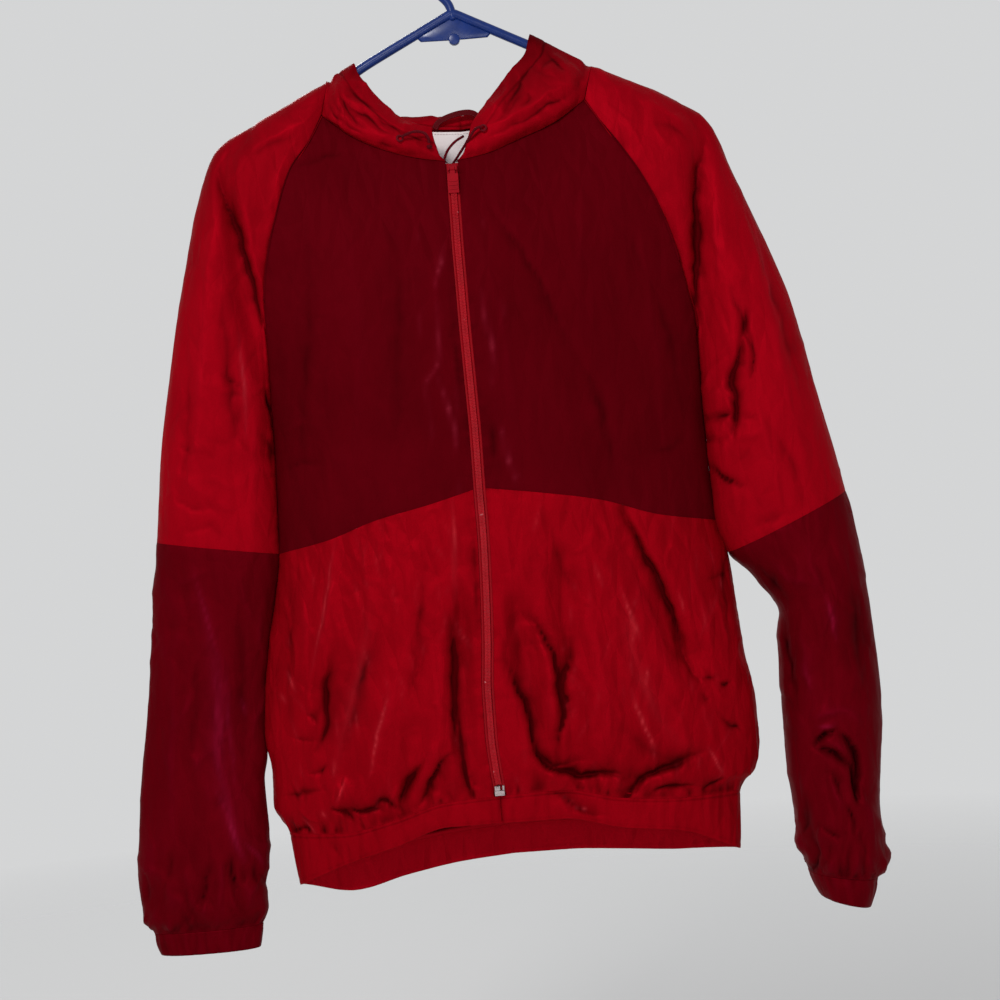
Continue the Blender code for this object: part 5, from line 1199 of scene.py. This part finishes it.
# painted light: the back part of the band, whose inside shows below the front in its shadow, made lighter
shade = shade + 1.3 * ~is_front
band = shell("waistband_cloth", "waistband", p, RED, (0, 0, -800), h, np.clip(shade, -1.5, 1.5),
             thick=1.1, glint=np.clip(glint * is_front / 2, 0, 1), lips=("top",),
             lip_depth=1.9, allowance=4.0)

# ---------------------------------------------------------------- sleeves
def against_body(side, p, w):
    """Let the sleeve's inner edge lie against the body's side edge, as far down as it does."""
    v = np.linspace(6.0, 16.0, 200)
    edge_x = np.abs(FRONT("xr" if side > 0 else "xl", v))
    edge_z = FRONT("r4" if side > 0 else "l4", v)
    x0, z0 = np.abs(p[:, 0, 0]), p[:, 0, 2]
    gap = x0 - np.interp(-z0, -edge_z, edge_x)
    ends = (-588.0, 26.0) if side > 0 else (-744.0, 40.0)
    near = np.clip((z0 - ends[0]) / ends[1], 0, 1) * np.clip((-360.0 - z0) / 40.0, 0, 1)
    close = np.clip(gap + 0.2 + 1.2 * np.clip((-520.0 - z0) / 20.0, 0, 1), 0, 9.0) * near * near * (3 - 2 * near)
    s = np.where(w <= 1, w, 2 - w)
    p = p.copy()
    p[..., 0] -= side * close[:, None] * ((1 - s) ** 1.6)[None]
    return p


for side, tag in ((-1, "left"), (1, "right")):
    v = levels(lambda q: sleeve(side, q, np.array([[0.6]]))[:, 0], 0, 10, 2.6)
    n = u_fine(165, 2.5)
    w = np.concatenate([eased(int(1.2 * n)), 2 - eased(int(0.8 * n))[-2::-1]])
    p = trim(against_body(side, sleeve(side, v, w[None]), w), top=1.6 * SEAM, bottom=SEAM / 2, left=SEAM, right=SEAM)
    front = np.clip((1.0 - w) / 0.05, 0, 1)[None] + 0.55 * np.clip((w - 1.0) / 0.08, 0, 1)[None]
    x0, x1 = (-290, -110) if side < 0 else (115, 310)
    loose = loose_strokes(90 + side, 46, x0, x1, -560, -130, -16 * side, 18, (24, 90), (2.8, 5), (0.25, 0.75))
    loose += loose_strokes(94 + side, 22, -264 if side < 0 else 195, -190 if side < 0 else 250, -520, -380,
                           70 * side, 24, (14, 34), (2.4, 4), (0.7, 1.6))
    h, shade, glint = relief(p, "s", 100 + side, loose, crush=0.34, front=front, wide=2.2)
    # painted shade: the upper sleeve darker towards the shoulder, the left more than the right
    shade = shade - (0.30 if side < 0 else 0.14) * np.clip((p[..., 2] + 370.0) / 130.0, 0, 1)
    # over the hanger's arms the cloth only lifts, it can't sink
    over_arm = np.clip((v[:, None] - 1.5) / 2.0, 0, 1) + 0 * w[None]
    h = np.where(over_arm < 1, np.maximum(h, -0.4 - 3 * over_arm), h)
    shell(f"sleeve_top_{tag}", [f"sleeve_upper_front_{tag}", f"sleeve_upper_back_{tag}"], p, RED_UP, (side * 215, 0, -330), h, shade,
          glint=glint)

    v = levels(lambda q: sleeve(side, q, np.array([[0.5]]))[:, 0], 10, 18, 2.4)
    n = u_fine(110, 2.2)
    w = np.concatenate([eased(int(1.3 * n))[:-1], 2 - eased(int(0.7 * n))[:0:-1]])
    p = trim(against_body(side, sleeve(side, v, w[None]), w), top=SEAM / 2, bottom=SEAM)
    front = (np.clip((1.0 - w) / 0.05, 0, 1) * np.clip(w / 0.05, 0, 1)
             + 0.5 * np.clip((w - 1.0) / 0.08, 0, 1) * np.clip((2.0 - w) / 0.08, 0, 1))[None]
    x0, x1 = (-335, -205) if side < 0 else (245, 338)
    loose = loose_strokes(110 + side, 52, x0, x1, -860, -530, -3 * side, 24, (20, 80), (3, 6), (0.6, 1.6))
    loose += loose_strokes(114 + side, 40, x0, x1, -872, -820, 0, 16, (16, 44), (2.4, 4), (1.0, 2.4))
    h, shade, glint = relief(p, "f", 120 + side, loose, ring=True, crush=0.40, front=front, wide=2.1, gathers=0.9)
    seam = np.minimum(w, 2 - w)[None]
    h = h - 0.5 * np.exp(-(seam / 0.02) ** 2)
    shell(f"sleeve_low_{tag}", f"sleeve_lower_{tag}", p, MAROON_LOW, (side * 280, 0, -700), h, shade,
          ring=True, glint=glint)

    v = np.linspace(18.0, 20.0, int(26 / (1.7 * FINE)))
    n = u_fine(110, 1.9)
    w = np.concatenate([eased(n)[:-1], 2 - eased(n)[:0:-1]])
    p = sleeve(side, v, w[None])
    run = np.concatenate([[0], np.cumsum(np.linalg.norm(np.diff(p[len(v) // 2], axis=0), axis=1))])[None]
    drop = np.linspace(0, 1, len(v))[:, None]
    gather = noise2(run / 3.4 + 0 * drop, drop * 1.2, 131 + side) + 0.6 * noise2(run / 1.8, drop * 2, 133)
    h = 0.55 * gather * (0.4 + 0.6 * np.sin(np.pi * drop)) + 0.5 * np.sin(np.pi * drop) ** 0.5 - 0.3
    h = h - 0.3 * np.exp(-((drop - 0.12) / 0.05) ** 2)
    # painted shade in the cuff's gathers
    shell(f"cuff_band_{tag}", f"cuff_{tag}", p, MAROON_LOW, (side * 285, 0, -880), h, 0.25 * gather,
          ring=True, thick=1.3, lips=())


# ------------------------------------------------------------------- hood
def neck_seam(side):
    """Points on the neck seam from the zip round to the centre back."""
    zero = np.array([0.0])
    half = abs(FRONT("xr" if side > 0 else "xl", 0.0) - FRONT("xz", 0.0))
    a = body(zero, side * round_edge(60, ZIP_HALF / half)[None])[0]
    e_ = eased(40)
    b = sleeve(side, zero, np.concatenate([e_, 2 - e_[-2::-1]])[None])[0][1:]
    c = body(zero, side * round_edge(60, 0.0)[::-1][None], front=False)[0][1:-1]
    last = np.array([[side * 0.5, float(BACK("yc", 0.0)), float(BACK("c", 0.0))]])
    return np.concatenate([a, b, c, last])


HOOD_COLS = 62
for side, tag in ((-1, "left"), (1, "right")):
    seam = neck_seam(side)
    run = np.concatenate([[0], np.cumsum(np.linalg.norm(np.diff(seam, axis=0), axis=1))])
    count = u_fine(run[-1], 1.9)
    t = np.linspace(0, 1, count + 1)
    start = np.stack([np.interp(t * run[-1], run, seam[:, k]) for k in range(3)], 1)
    rows_h = HOOD_L if side < 0 else HOOD_R
    mids = [np.stack([rows_h(f"{c}{i}", t) for c in "xyz"], 1) for i in range(1, 6)]
    cols = int(HOOD_COLS / FINE)
    p = np.stack([smooth_path([start[i]] + [m[i] for m in mids], cols) for i in range(len(t))])
    # the left half passes under the right one at the centre back
    p[-1, :, 0] = 1.4 if side < 0 else -0.1
    if side < 0:
        p[-1, :, 1] += np.where(np.arange(cols + 1) < (cols + 1) // 2, 0.3, -0.3)[:p.shape[1]]
    p = trim(p, left=2 * SEAM)
    seg = np.concatenate([np.zeros((len(t), 1)), np.cumsum(np.linalg.norm(np.diff(p, axis=1), axis=2), axis=1)], 1)
    to_rim = seg[:, -1:] - seg
    fronts = np.clip((0.60 - t) / 0.04, 0, 1)[:, None] + 0 * seg
    x0, x1 = (-120, -4) if side < 0 else (4, 120)
    loose = loose_strokes(140 + side, 26, x0, x1, -345, -110, 10 * side, 30, (24, 80), (3, 6), (0.5, 1.5))
    loose += loose_strokes(144 + side, 22, x0, x1, -190, -110, -55 * side, 20, (14, 40), (2.2, 3.6), (0.4, 1.0))
    h, shade, glint = relief(p, "h", 150 + side, loose, crush=0.36, front=fronts, free=("right",), depth=-24)
    h = np.where(fronts > 0, np.clip(h, -1.2, 2.0), h)
    # the cord's casing along the rim, with its row of stitches and painted shade along that row
    h = h + 0.45 / (1 + np.exp((to_rim - 15.0) / 0.8)) - 0.4 * np.exp(-((to_rim - 15.5) / 1.1) ** 2)
    shade = shade - 0.4 * np.exp(-((to_rim - 15.5) / 1.0) ** 2)
    # painted shade: the whole hood a little darker, darker still towards its upper edge on its front side, and the
    # right half darker near its rim
    top_z, low_z = (-100.0, -128.0) if side < 0 else (-78.0, -122.0)
    shade = shade - 0.15 - 0.60 * np.clip((p[..., 2] - low_z) / (top_z - low_z), 0, 1) * (p[..., 1] < 4)
    if side > 0:
        shade = shade - 0.42 * np.exp(-(to_rim / 40.0) ** 2) * np.clip((p[..., 2] + 165.0) / 30.0, 0, 1)
    shell(f"hood_cloth_{tag}", f"hood_{tag}", p, RED_UP, (side * 60, 8, -400), h, shade,
          glint=glint, lips=("left",), thick=0.5, lip_depth=1.1, allowance=3.0)

# ------------------------------------------------------- meshes of small work
def mesh_piece(name, bm, mat, node=None, body_name=GARMENT, smooth=True):
    mesh = bpy.data.meshes.new(name)
    bm.to_mesh(mesh)
    bm.free()
    for poly in mesh.polygons:
        poly.use_smooth = smooth
    mesh.materials.append(mat)
    ob = bpy.data.objects.new(name, mesh)
    bpy.context.scene.collection.objects.link(ob)
    place(ob, body_name, node)
    return ob


def block(bm, size, centre, turn=None, taper=1.0):
    """A small block with its front (-Y) face drawn in, for moulded detail."""
    sx, sy, sz = (s / 2 for s in size)
    corners = []
    for y, k in ((sy, 1.0), (-sy * 0.35, 1.0), (-sy, taper)):
        for x, z in ((-sx, -sz), (sx, -sz), (sx, sz), (-sx, sz)):
            p = Vector((x * k, y, z * k))
            if turn is not None:
                p = turn @ p
            corners.append(bm.verts.new((p + Vector(centre)) * MM))
    for k in (0, 4):
        for i in range(4):
            j = (i + 1) % 4
            bm.faces.new((corners[k + i], corners[k + j], corners[k + 4 + j], corners[k + 4 + i]))
    bm.faces.new(corners[3::-1])
    bm.faces.new(corners[8:12])


def stitches(name, line, lift, length, pitch, radius, mat):
    """A row of short thread stitches along a line of points, standing lift proud."""
    line, lift = np.asarray(line, float), np.asarray(lift, float)
    run = np.concatenate([[0], np.cumsum(np.linalg.norm(np.diff(line, axis=0), axis=1))])
    bm = bmesh.new()
    at = lambda s: np.array([np.interp(s, run, line[:, k]) for k in range(3)])
    out = lambda s: np.array([np.interp(s, run, lift[:, k]) for k in range(3)])
    s = pitch * 0.5
    while s + length < run[-1]:
        rings = []
        for q, rise, r in ((0.0, -0.15, 0.45), (0.22, 0.8, 1.0), (0.78, 0.8, 1.0), (1.0, -0.15, 0.45)):
            c = at(s + q * length) + out(s + q * length) * radius * rise
            d = at(min(s + length, run[-1])) - at(s)
            d = d / max(np.linalg.norm(d), 1e-9)
            o = out(s + q * length)
            o = o - d * np.dot(o, d)
            o = o / max(np.linalg.norm(o), 1e-9)
            w = np.cross(d, o)
            rings.append([bm.verts.new((c + radius * r * (math.cos(a) * o + math.sin(a) * w)) * MM)
                          for a in (math.pi / 3 * i for i in range(6))])
        for a_, b_ in zip(rings, rings[1:]):
            for i in range(6):
                bm.faces.new((a_[i], a_[(i + 1) % 6], b_[(i + 1) % 6], b_[i]))
        bm.faces.new(rings[0][::-1])
        bm.faces.new(rings[-1])
        s += pitch
    bmesh.ops.recalc_face_normals(bm, faces=bm.faces)
    return mesh_piece(name, bm, mat)


# --------------------------------------------------------------------- zip
def zip_at(z):
    """X and Y of the zip line's cloth surface at height z."""
    v = float(np.interp(-z, -FRONT("c", np.linspace(0, 17, 400)), np.linspace(0, 17, 400)))
    q = body(np.array([v]), np.array([[0.0]]))[0, 0]
    return q[0], q[1]


bm = bmesh.new()
pitch, z, k = 1.25, -219.2, 0
lean = random.Random(5)
while z > -755.0:
    x, y = zip_at(z)
    s = 1 if k % 2 else -1
    block(bm, (3.3, 1.7, 1.08), (x + s * 1.05, y - 0.35, z),
          Matrix.Rotation(lean.uniform(-0.02, 0.02), 3, "Y"), 0.72)
    block(bm, (1.15, 1.4, 1.10), (x - s * 0.75, y - 0.20, z), None, 0.8)
    block(bm, (5.2, 0.5, pitch + 0.04), (x, y - 0.40, z), None, 1.0)
    z -= pitch
    k += 1
teeth = mesh_piece("zip_teeth", bm, TEETH, "zip_chain", smooth=False)

# the two tapes, with a rounded cord edge beside the teeth
for side, tag in ((-1, "left"), (1, "right")):
    zs = np.linspace(-205.0, -763.0, int(280 / FINE))
    offs = np.array([0.35, 1.2, 2.4, 3.2, 4.2, 5.5, 7.0, 9.0, 11.3])
    rise = np.array([0.35, 0.25, -0.05, -0.75, -0.95, -0.55, -0.1, 0.0, 0.1])
    grid = np.zeros((len(zs), len(offs), 3))
    for i, zz in enumerate(zs):
        x, y = zip_at(zz)
        grid[i, :, 0] = x + side * offs
        grid[i, :, 1] = y + 1.9 + rise + 0.12 * math.sin(zz * 0.11 + side)
        grid[i, :, 2] = zz
    shell(f"zip_cloth_{tag}", f"zip_tape_{tag}", grid, ZIP_TAPE, (0, 600, -480), thick=0.5, lips=())

# slider, pull and cord eyelets keep their CAD shapes
for node, mat in (("zip_slider", SLIDER), ("zip_pull", SLIDER),
                  ("cord_eyelet_left", EYELET), ("cord_eyelet_right", EYELET)):
    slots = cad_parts[node].material_slots
    if not len(slots):
        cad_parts[node].data.materials.append(mat)
    for s_ in slots:
        s_.material = mat

# the retaining box: a folded plate round the teeth, its pin beside it
bm = bmesh.new()
x, y = zip_at(-760.6)
block(bm, (9.2, 2.2, 4.6), (x, y - 0.5, -763.0), None, 0.9)
block(bm, (5.2, 2.4, 4.4), (x - 1.8, y - 0.6, -758.6), None, 0.85)
block(bm, (1.9, 2.0, 4.6), (x + 3.4, y - 0.5, -758.4), None, 0.8)
block(bm, (2.4, 1.2, 1.4), (x - 1.8, y - 1.9, -757.6), None, 0.7)
block(bm, (6.4, 1.2, 0.9), (x, y - 1.6, -763.9), None, 0.8)
mesh_piece("zip_box_plate", bm, SILVER, "zip_box", smooth=False)

# ------------------------------------------------------------- label and loop
def label_at(u, v):
    """A point of the label: u from -1 to 1 across, v from 0 at its top to 1."""
    lv = 0.06 + v * 1.0
    q = body(np.array([lv]), np.array([[u * 0.26]]), front=False)[0, 0]
    return q + np.array([0, -1.9, -1.5])


nu, nv = int(70 / FINE), int(46 / FINE)
grid = np.array([[label_at(-1 + 2 * j / nu, i / nv) for j in range(nu + 1)] for i in range(nv + 1)])
gu, gv = np.meshgrid(np.linspace(-1, 1, nu + 1), np.linspace(0, 1, nv + 1))
h = 0.22 * noise2(gu * 2.2 + 5, gv * 2.0, 301) + 0.16 * np.cos(gu * 3.0 + gv)
h -= 0.30 * np.exp(-(np.minimum(1 - np.abs(gu), 1) / 0.05) ** 2) + 0.2 * np.exp(-(gv / 0.06) ** 2)
label = shell("label_cloth", "neck_label", grid, LABEL, (0, -300, -190), -h, thick=0.35, lips=())
edge = [label_at(-0.93 + 1.86 * i / 60, 0.05) + np.array([0, -0.62, 0]) for i in range(61)]
stitches("label_stitches", edge, [(0, -1, 0)] * len(edge), 1.9, 2.6, 0.22, THREAD_PALE)

LOOP_LINE = smooth_path([(-24, 10.2, -167), (-19, 9.8, -160.6), (-9, 9.4, -156.4), (2, 9.4, -154.2),
                         (11, 9.6, -154.8), (17, 10, -159.6), (19, 10.4, -168)], int(90 / FINE))
tang = np.gradient(LOOP_LINE, axis=0)
side_dir = np.cross(tang, (0, 1, 0))
side_dir /= np.linalg.norm(side_dir, axis=1, keepdims=True)
offs = np.array([-2.6, -2.45, -2.0, -1.2, -0.4, 0.4, 1.2, 2.0, 2.45, 2.6])
swell_ = np.array([0.35, 0.12, 0.0, -0.03, -0.05, -0.05, -0.03, 0.0, 0.12, 0.35])
grid = LOOP_LINE[:, None] + side_dir[:, None] * offs[None, :, None]
grid[..., 1] += swell_[None]
shell("loop_tape_cloth", "hang_loop", grid, LOOP, (0, 300, -160), thick=0.8, lips=())
for i, o in enumerate((-1.95, 1.95)):
    line = LOOP_LINE + side_dir * o + np.array([0, -0.05, 0])
    stitches(f"loop_stitches_{i}", line, [(0, -1, 0)] * len(line), 1.6, 2.3, 0.16, THREAD)

# ------------------------------------------------------------------- hanger
HALF = [(42, -87.5), (78, -106), (95, -116), (115, -128), (135, -138.5), (154, -148), (183, -163.5), (198, -172),
        (206, -179), (208.5, -188), (205, -198), (194, -205), (170, -208.5), (120, -210), (60, -210.5)]
ring_pts = ([(0, 0, -66)] + [(x, 0, z) for x, z in HALF] + [(0, 0, -210.5)] + [(-x, 0, z) for x, z in reversed(HALF)])
ring_line = smooth_path(ring_pts + [ring_pts[0]], 300)[:-1]
hook_line = smooth_path([(0, 0, -70), (-3, 0, -58), (-13, 0, -46), (-21.5, 0, -33), (-23.2, 0, -18),
                         (-16.5, 0, -2.4), (0, 0, 4.2), (16.5, 0, -2.4), (23.2, 0, -18), (21.5, 0, -29)], 120)


def tube_mesh(bm, line, radius, closed=False, sides=28, dome=True):
    """Sweep a round tube in the XZ plane along a line of points."""
    line = np.asarray(line, float)
    n = len(line)
    if closed:
        tangent = np.roll(line, -1, 0) - np.roll(line, 1, 0)
    else:
        tangent = np.gradient(line, axis=0)
    tangent /= np.linalg.norm(tangent, axis=1, keepdims=True)
    sideways = np.cross(tangent, (0, 1, 0))
    def ring(c, s_, r):
        return [bm.verts.new((c + r * (math.cos(a) * s_ + math.sin(a) * np.array((0, 1, 0)))) * MM)
                for a in (2 * math.pi * i / sides for i in range(sides))]
    rings = [ring(line[i], sideways[i], radius) for i in range(n)]
    if not closed and dome:
        for end, sgn in ((0, -1), (-1, 1)):
            caps = []
            for a in (0.35, 0.7, 1.05, 1.35):
                caps.append(ring(line[end] + tangent[end] * sgn * radius * math.sin(a) * 0.9, sideways[end], radius * math.cos(a)))
            rings = caps[::-1] + rings if end == 0 else rings + caps
    m = len(rings)
    for i in range(m if closed else m - 1):
        a_, b_ = rings[i], rings[(i + 1) % m]
        for j in range(sides):
            bm.faces.new((a_[j], a_[(j + 1) % sides], b_[(j + 1) % sides], b_[j]))
    if not closed:
        bm.faces.new(rings[0][::-1])
        bm.faces.new(rings[-1])


bm = bmesh.new()
tube_mesh(bm, ring_line, 4.2, closed=True)
tube_mesh(bm, hook_line, 3.9)
# web under the hook: a lens-edged plate
web = [(-36, -84), (-24, -77.5), (-12, -70.5), (0, -64), (12, -70.5), (24, -77.5), (36, -84), (30, -90), (0, -90.5), (-30, -90)]
loops_ = [[bm.verts.new(Vector((x * k, y, -80 + (z + 80) * k)) * MM) for x, z in web]
          for k, y in ((0.94, -1.3), (1.0, -0.8), (1.0, 0.8), (0.94, 1.3))]
for a_, b_ in zip(loops_, loops_[1:]):
    for j in range(len(web)):
        q = (j + 1) % len(web)
        bm.faces.new((a_[j], a_[q], b_[q], b_[j]))
bm.faces.new(loops_[0][::-1])
bm.faces.new(loops_[-1])
# the boss, round with eased rims
prof = [(4.2, -3.0), (4.8, -2.8), (5.0, -2.4), (5.0, 2.4), (4.8, 2.8), (4.2, 3.0)]
rings_ = [[bm.verts.new((r * math.cos(a) * MM, y * MM, (-90 + r * math.sin(a)) * MM))
           for a in (2 * math.pi * i / 40 for i in range(40))] for r, y in prof]
for a_, b_ in zip(rings_, rings_[1:]):
    for j in range(40):
        bm.faces.new((a_[j], a_[(j + 1) % 40], b_[(j + 1) % 40], b_[j]))
bm.faces.new(rings_[0][::-1])
bm.faces.new(rings_[-1])
bmesh.ops.recalc_face_normals(bm, faces=bm.faces)
mesh_piece("hanger_moulding", bm, BLUE, "hanger")

# ------------------------------------------------------------ stage and light
# a round pale floor that fades out, far from the object, into the studio's light
FLOOR_R = 3.2
PAPER, tree, bsdf = new_material("paper_floor")
b = Build(tree)
cloud = b.noise(b.coords(), 0.4, 1.0)
b.put(b.mix(cloud, (0.66, 0.66, 0.66), (0.70, 0.70, 0.695)), bsdf.inputs["Base Color"])
bsdf.inputs["Roughness"].default_value = 0.95
bsdf.inputs["Specular IOR Level"].default_value = 0.05
dist = b.add("VectorMath", operation="LENGTH")
b.put(b.coords((1, 1, 0)), dist.inputs[0])
b.put(b.ranged(dist.outputs["Value"], 1.1, FLOOR_R - 0.1, 1.0, 0.0), bsdf.inputs["Alpha"])
bm = bmesh.new()
bmesh.ops.create_circle(bm, cap_ends=True, segments=96, radius=FLOOR_R)
bmesh.ops.translate(bm, vec=(0, 0, -1.30), verts=bm.verts)
mesh = bpy.data.meshes.new("floor_disc")
bm.to_mesh(mesh)
bm.free()
mesh.materials.append(PAPER)
floor = bpy.data.objects.new("floor_disc", mesh)
bpy.context.scene.collection.objects.link(floor)

# studio light all round, paler behind the object than before it
world = bpy.data.worlds.new("studio")
bpy.context.scene.world = world
world.use_nodes = True
wb = Build(world.node_tree)
split = wb.add("SeparateXYZ")
wb.put(wb.add("TexCoord").outputs["Generated"], split.inputs[0])
side_ = wb.ranged(split.outputs["Y"], -0.5, 0.7)
world.node_tree.links.new(wb.mix(side_, (0.42, 0.425, 0.435), (0.66, 0.665, 0.67)),
                          world.node_tree.nodes["Background"].inputs[0])
world.node_tree.nodes["Background"].inputs[1].default_value = 1.0


def area(name, at, to, size, power, color=(1, 1, 1)):
    light = bpy.data.lights.new(name, "AREA")
    light.shape = "RECTANGLE"
    light.size, light.size_y = size
    light.energy = power
    light.color = color
    ob = bpy.data.objects.new(name, light)
    ob.location = at
    ob.rotation_euler = (Vector(to) - Vector(at)).to_track_quat("-Z", "Y").to_euler()
    bpy.context.scene.collection.objects.link(ob)
    return ob


area("key", (-0.85, -2.3, 0.85), (0, 0, -0.50), (0.5, 0.5), 33, (1.0, 0.985, 0.97))
area("low_front", (0.35, -2.5, -0.62), (0, 0, -0.62), (0.9, 0.9), 9.0)
area("back_light", (-0.7, 2.2, 0.8), (0, 0, -0.5), (0.8, 0.8), 20)

scene = bpy.context.scene
scene.view_settings.view_transform = "Standard"
scene.view_settings.look = "None"
scene.view_settings.exposure = 0.0
scene.view_settings.gamma = 1.0
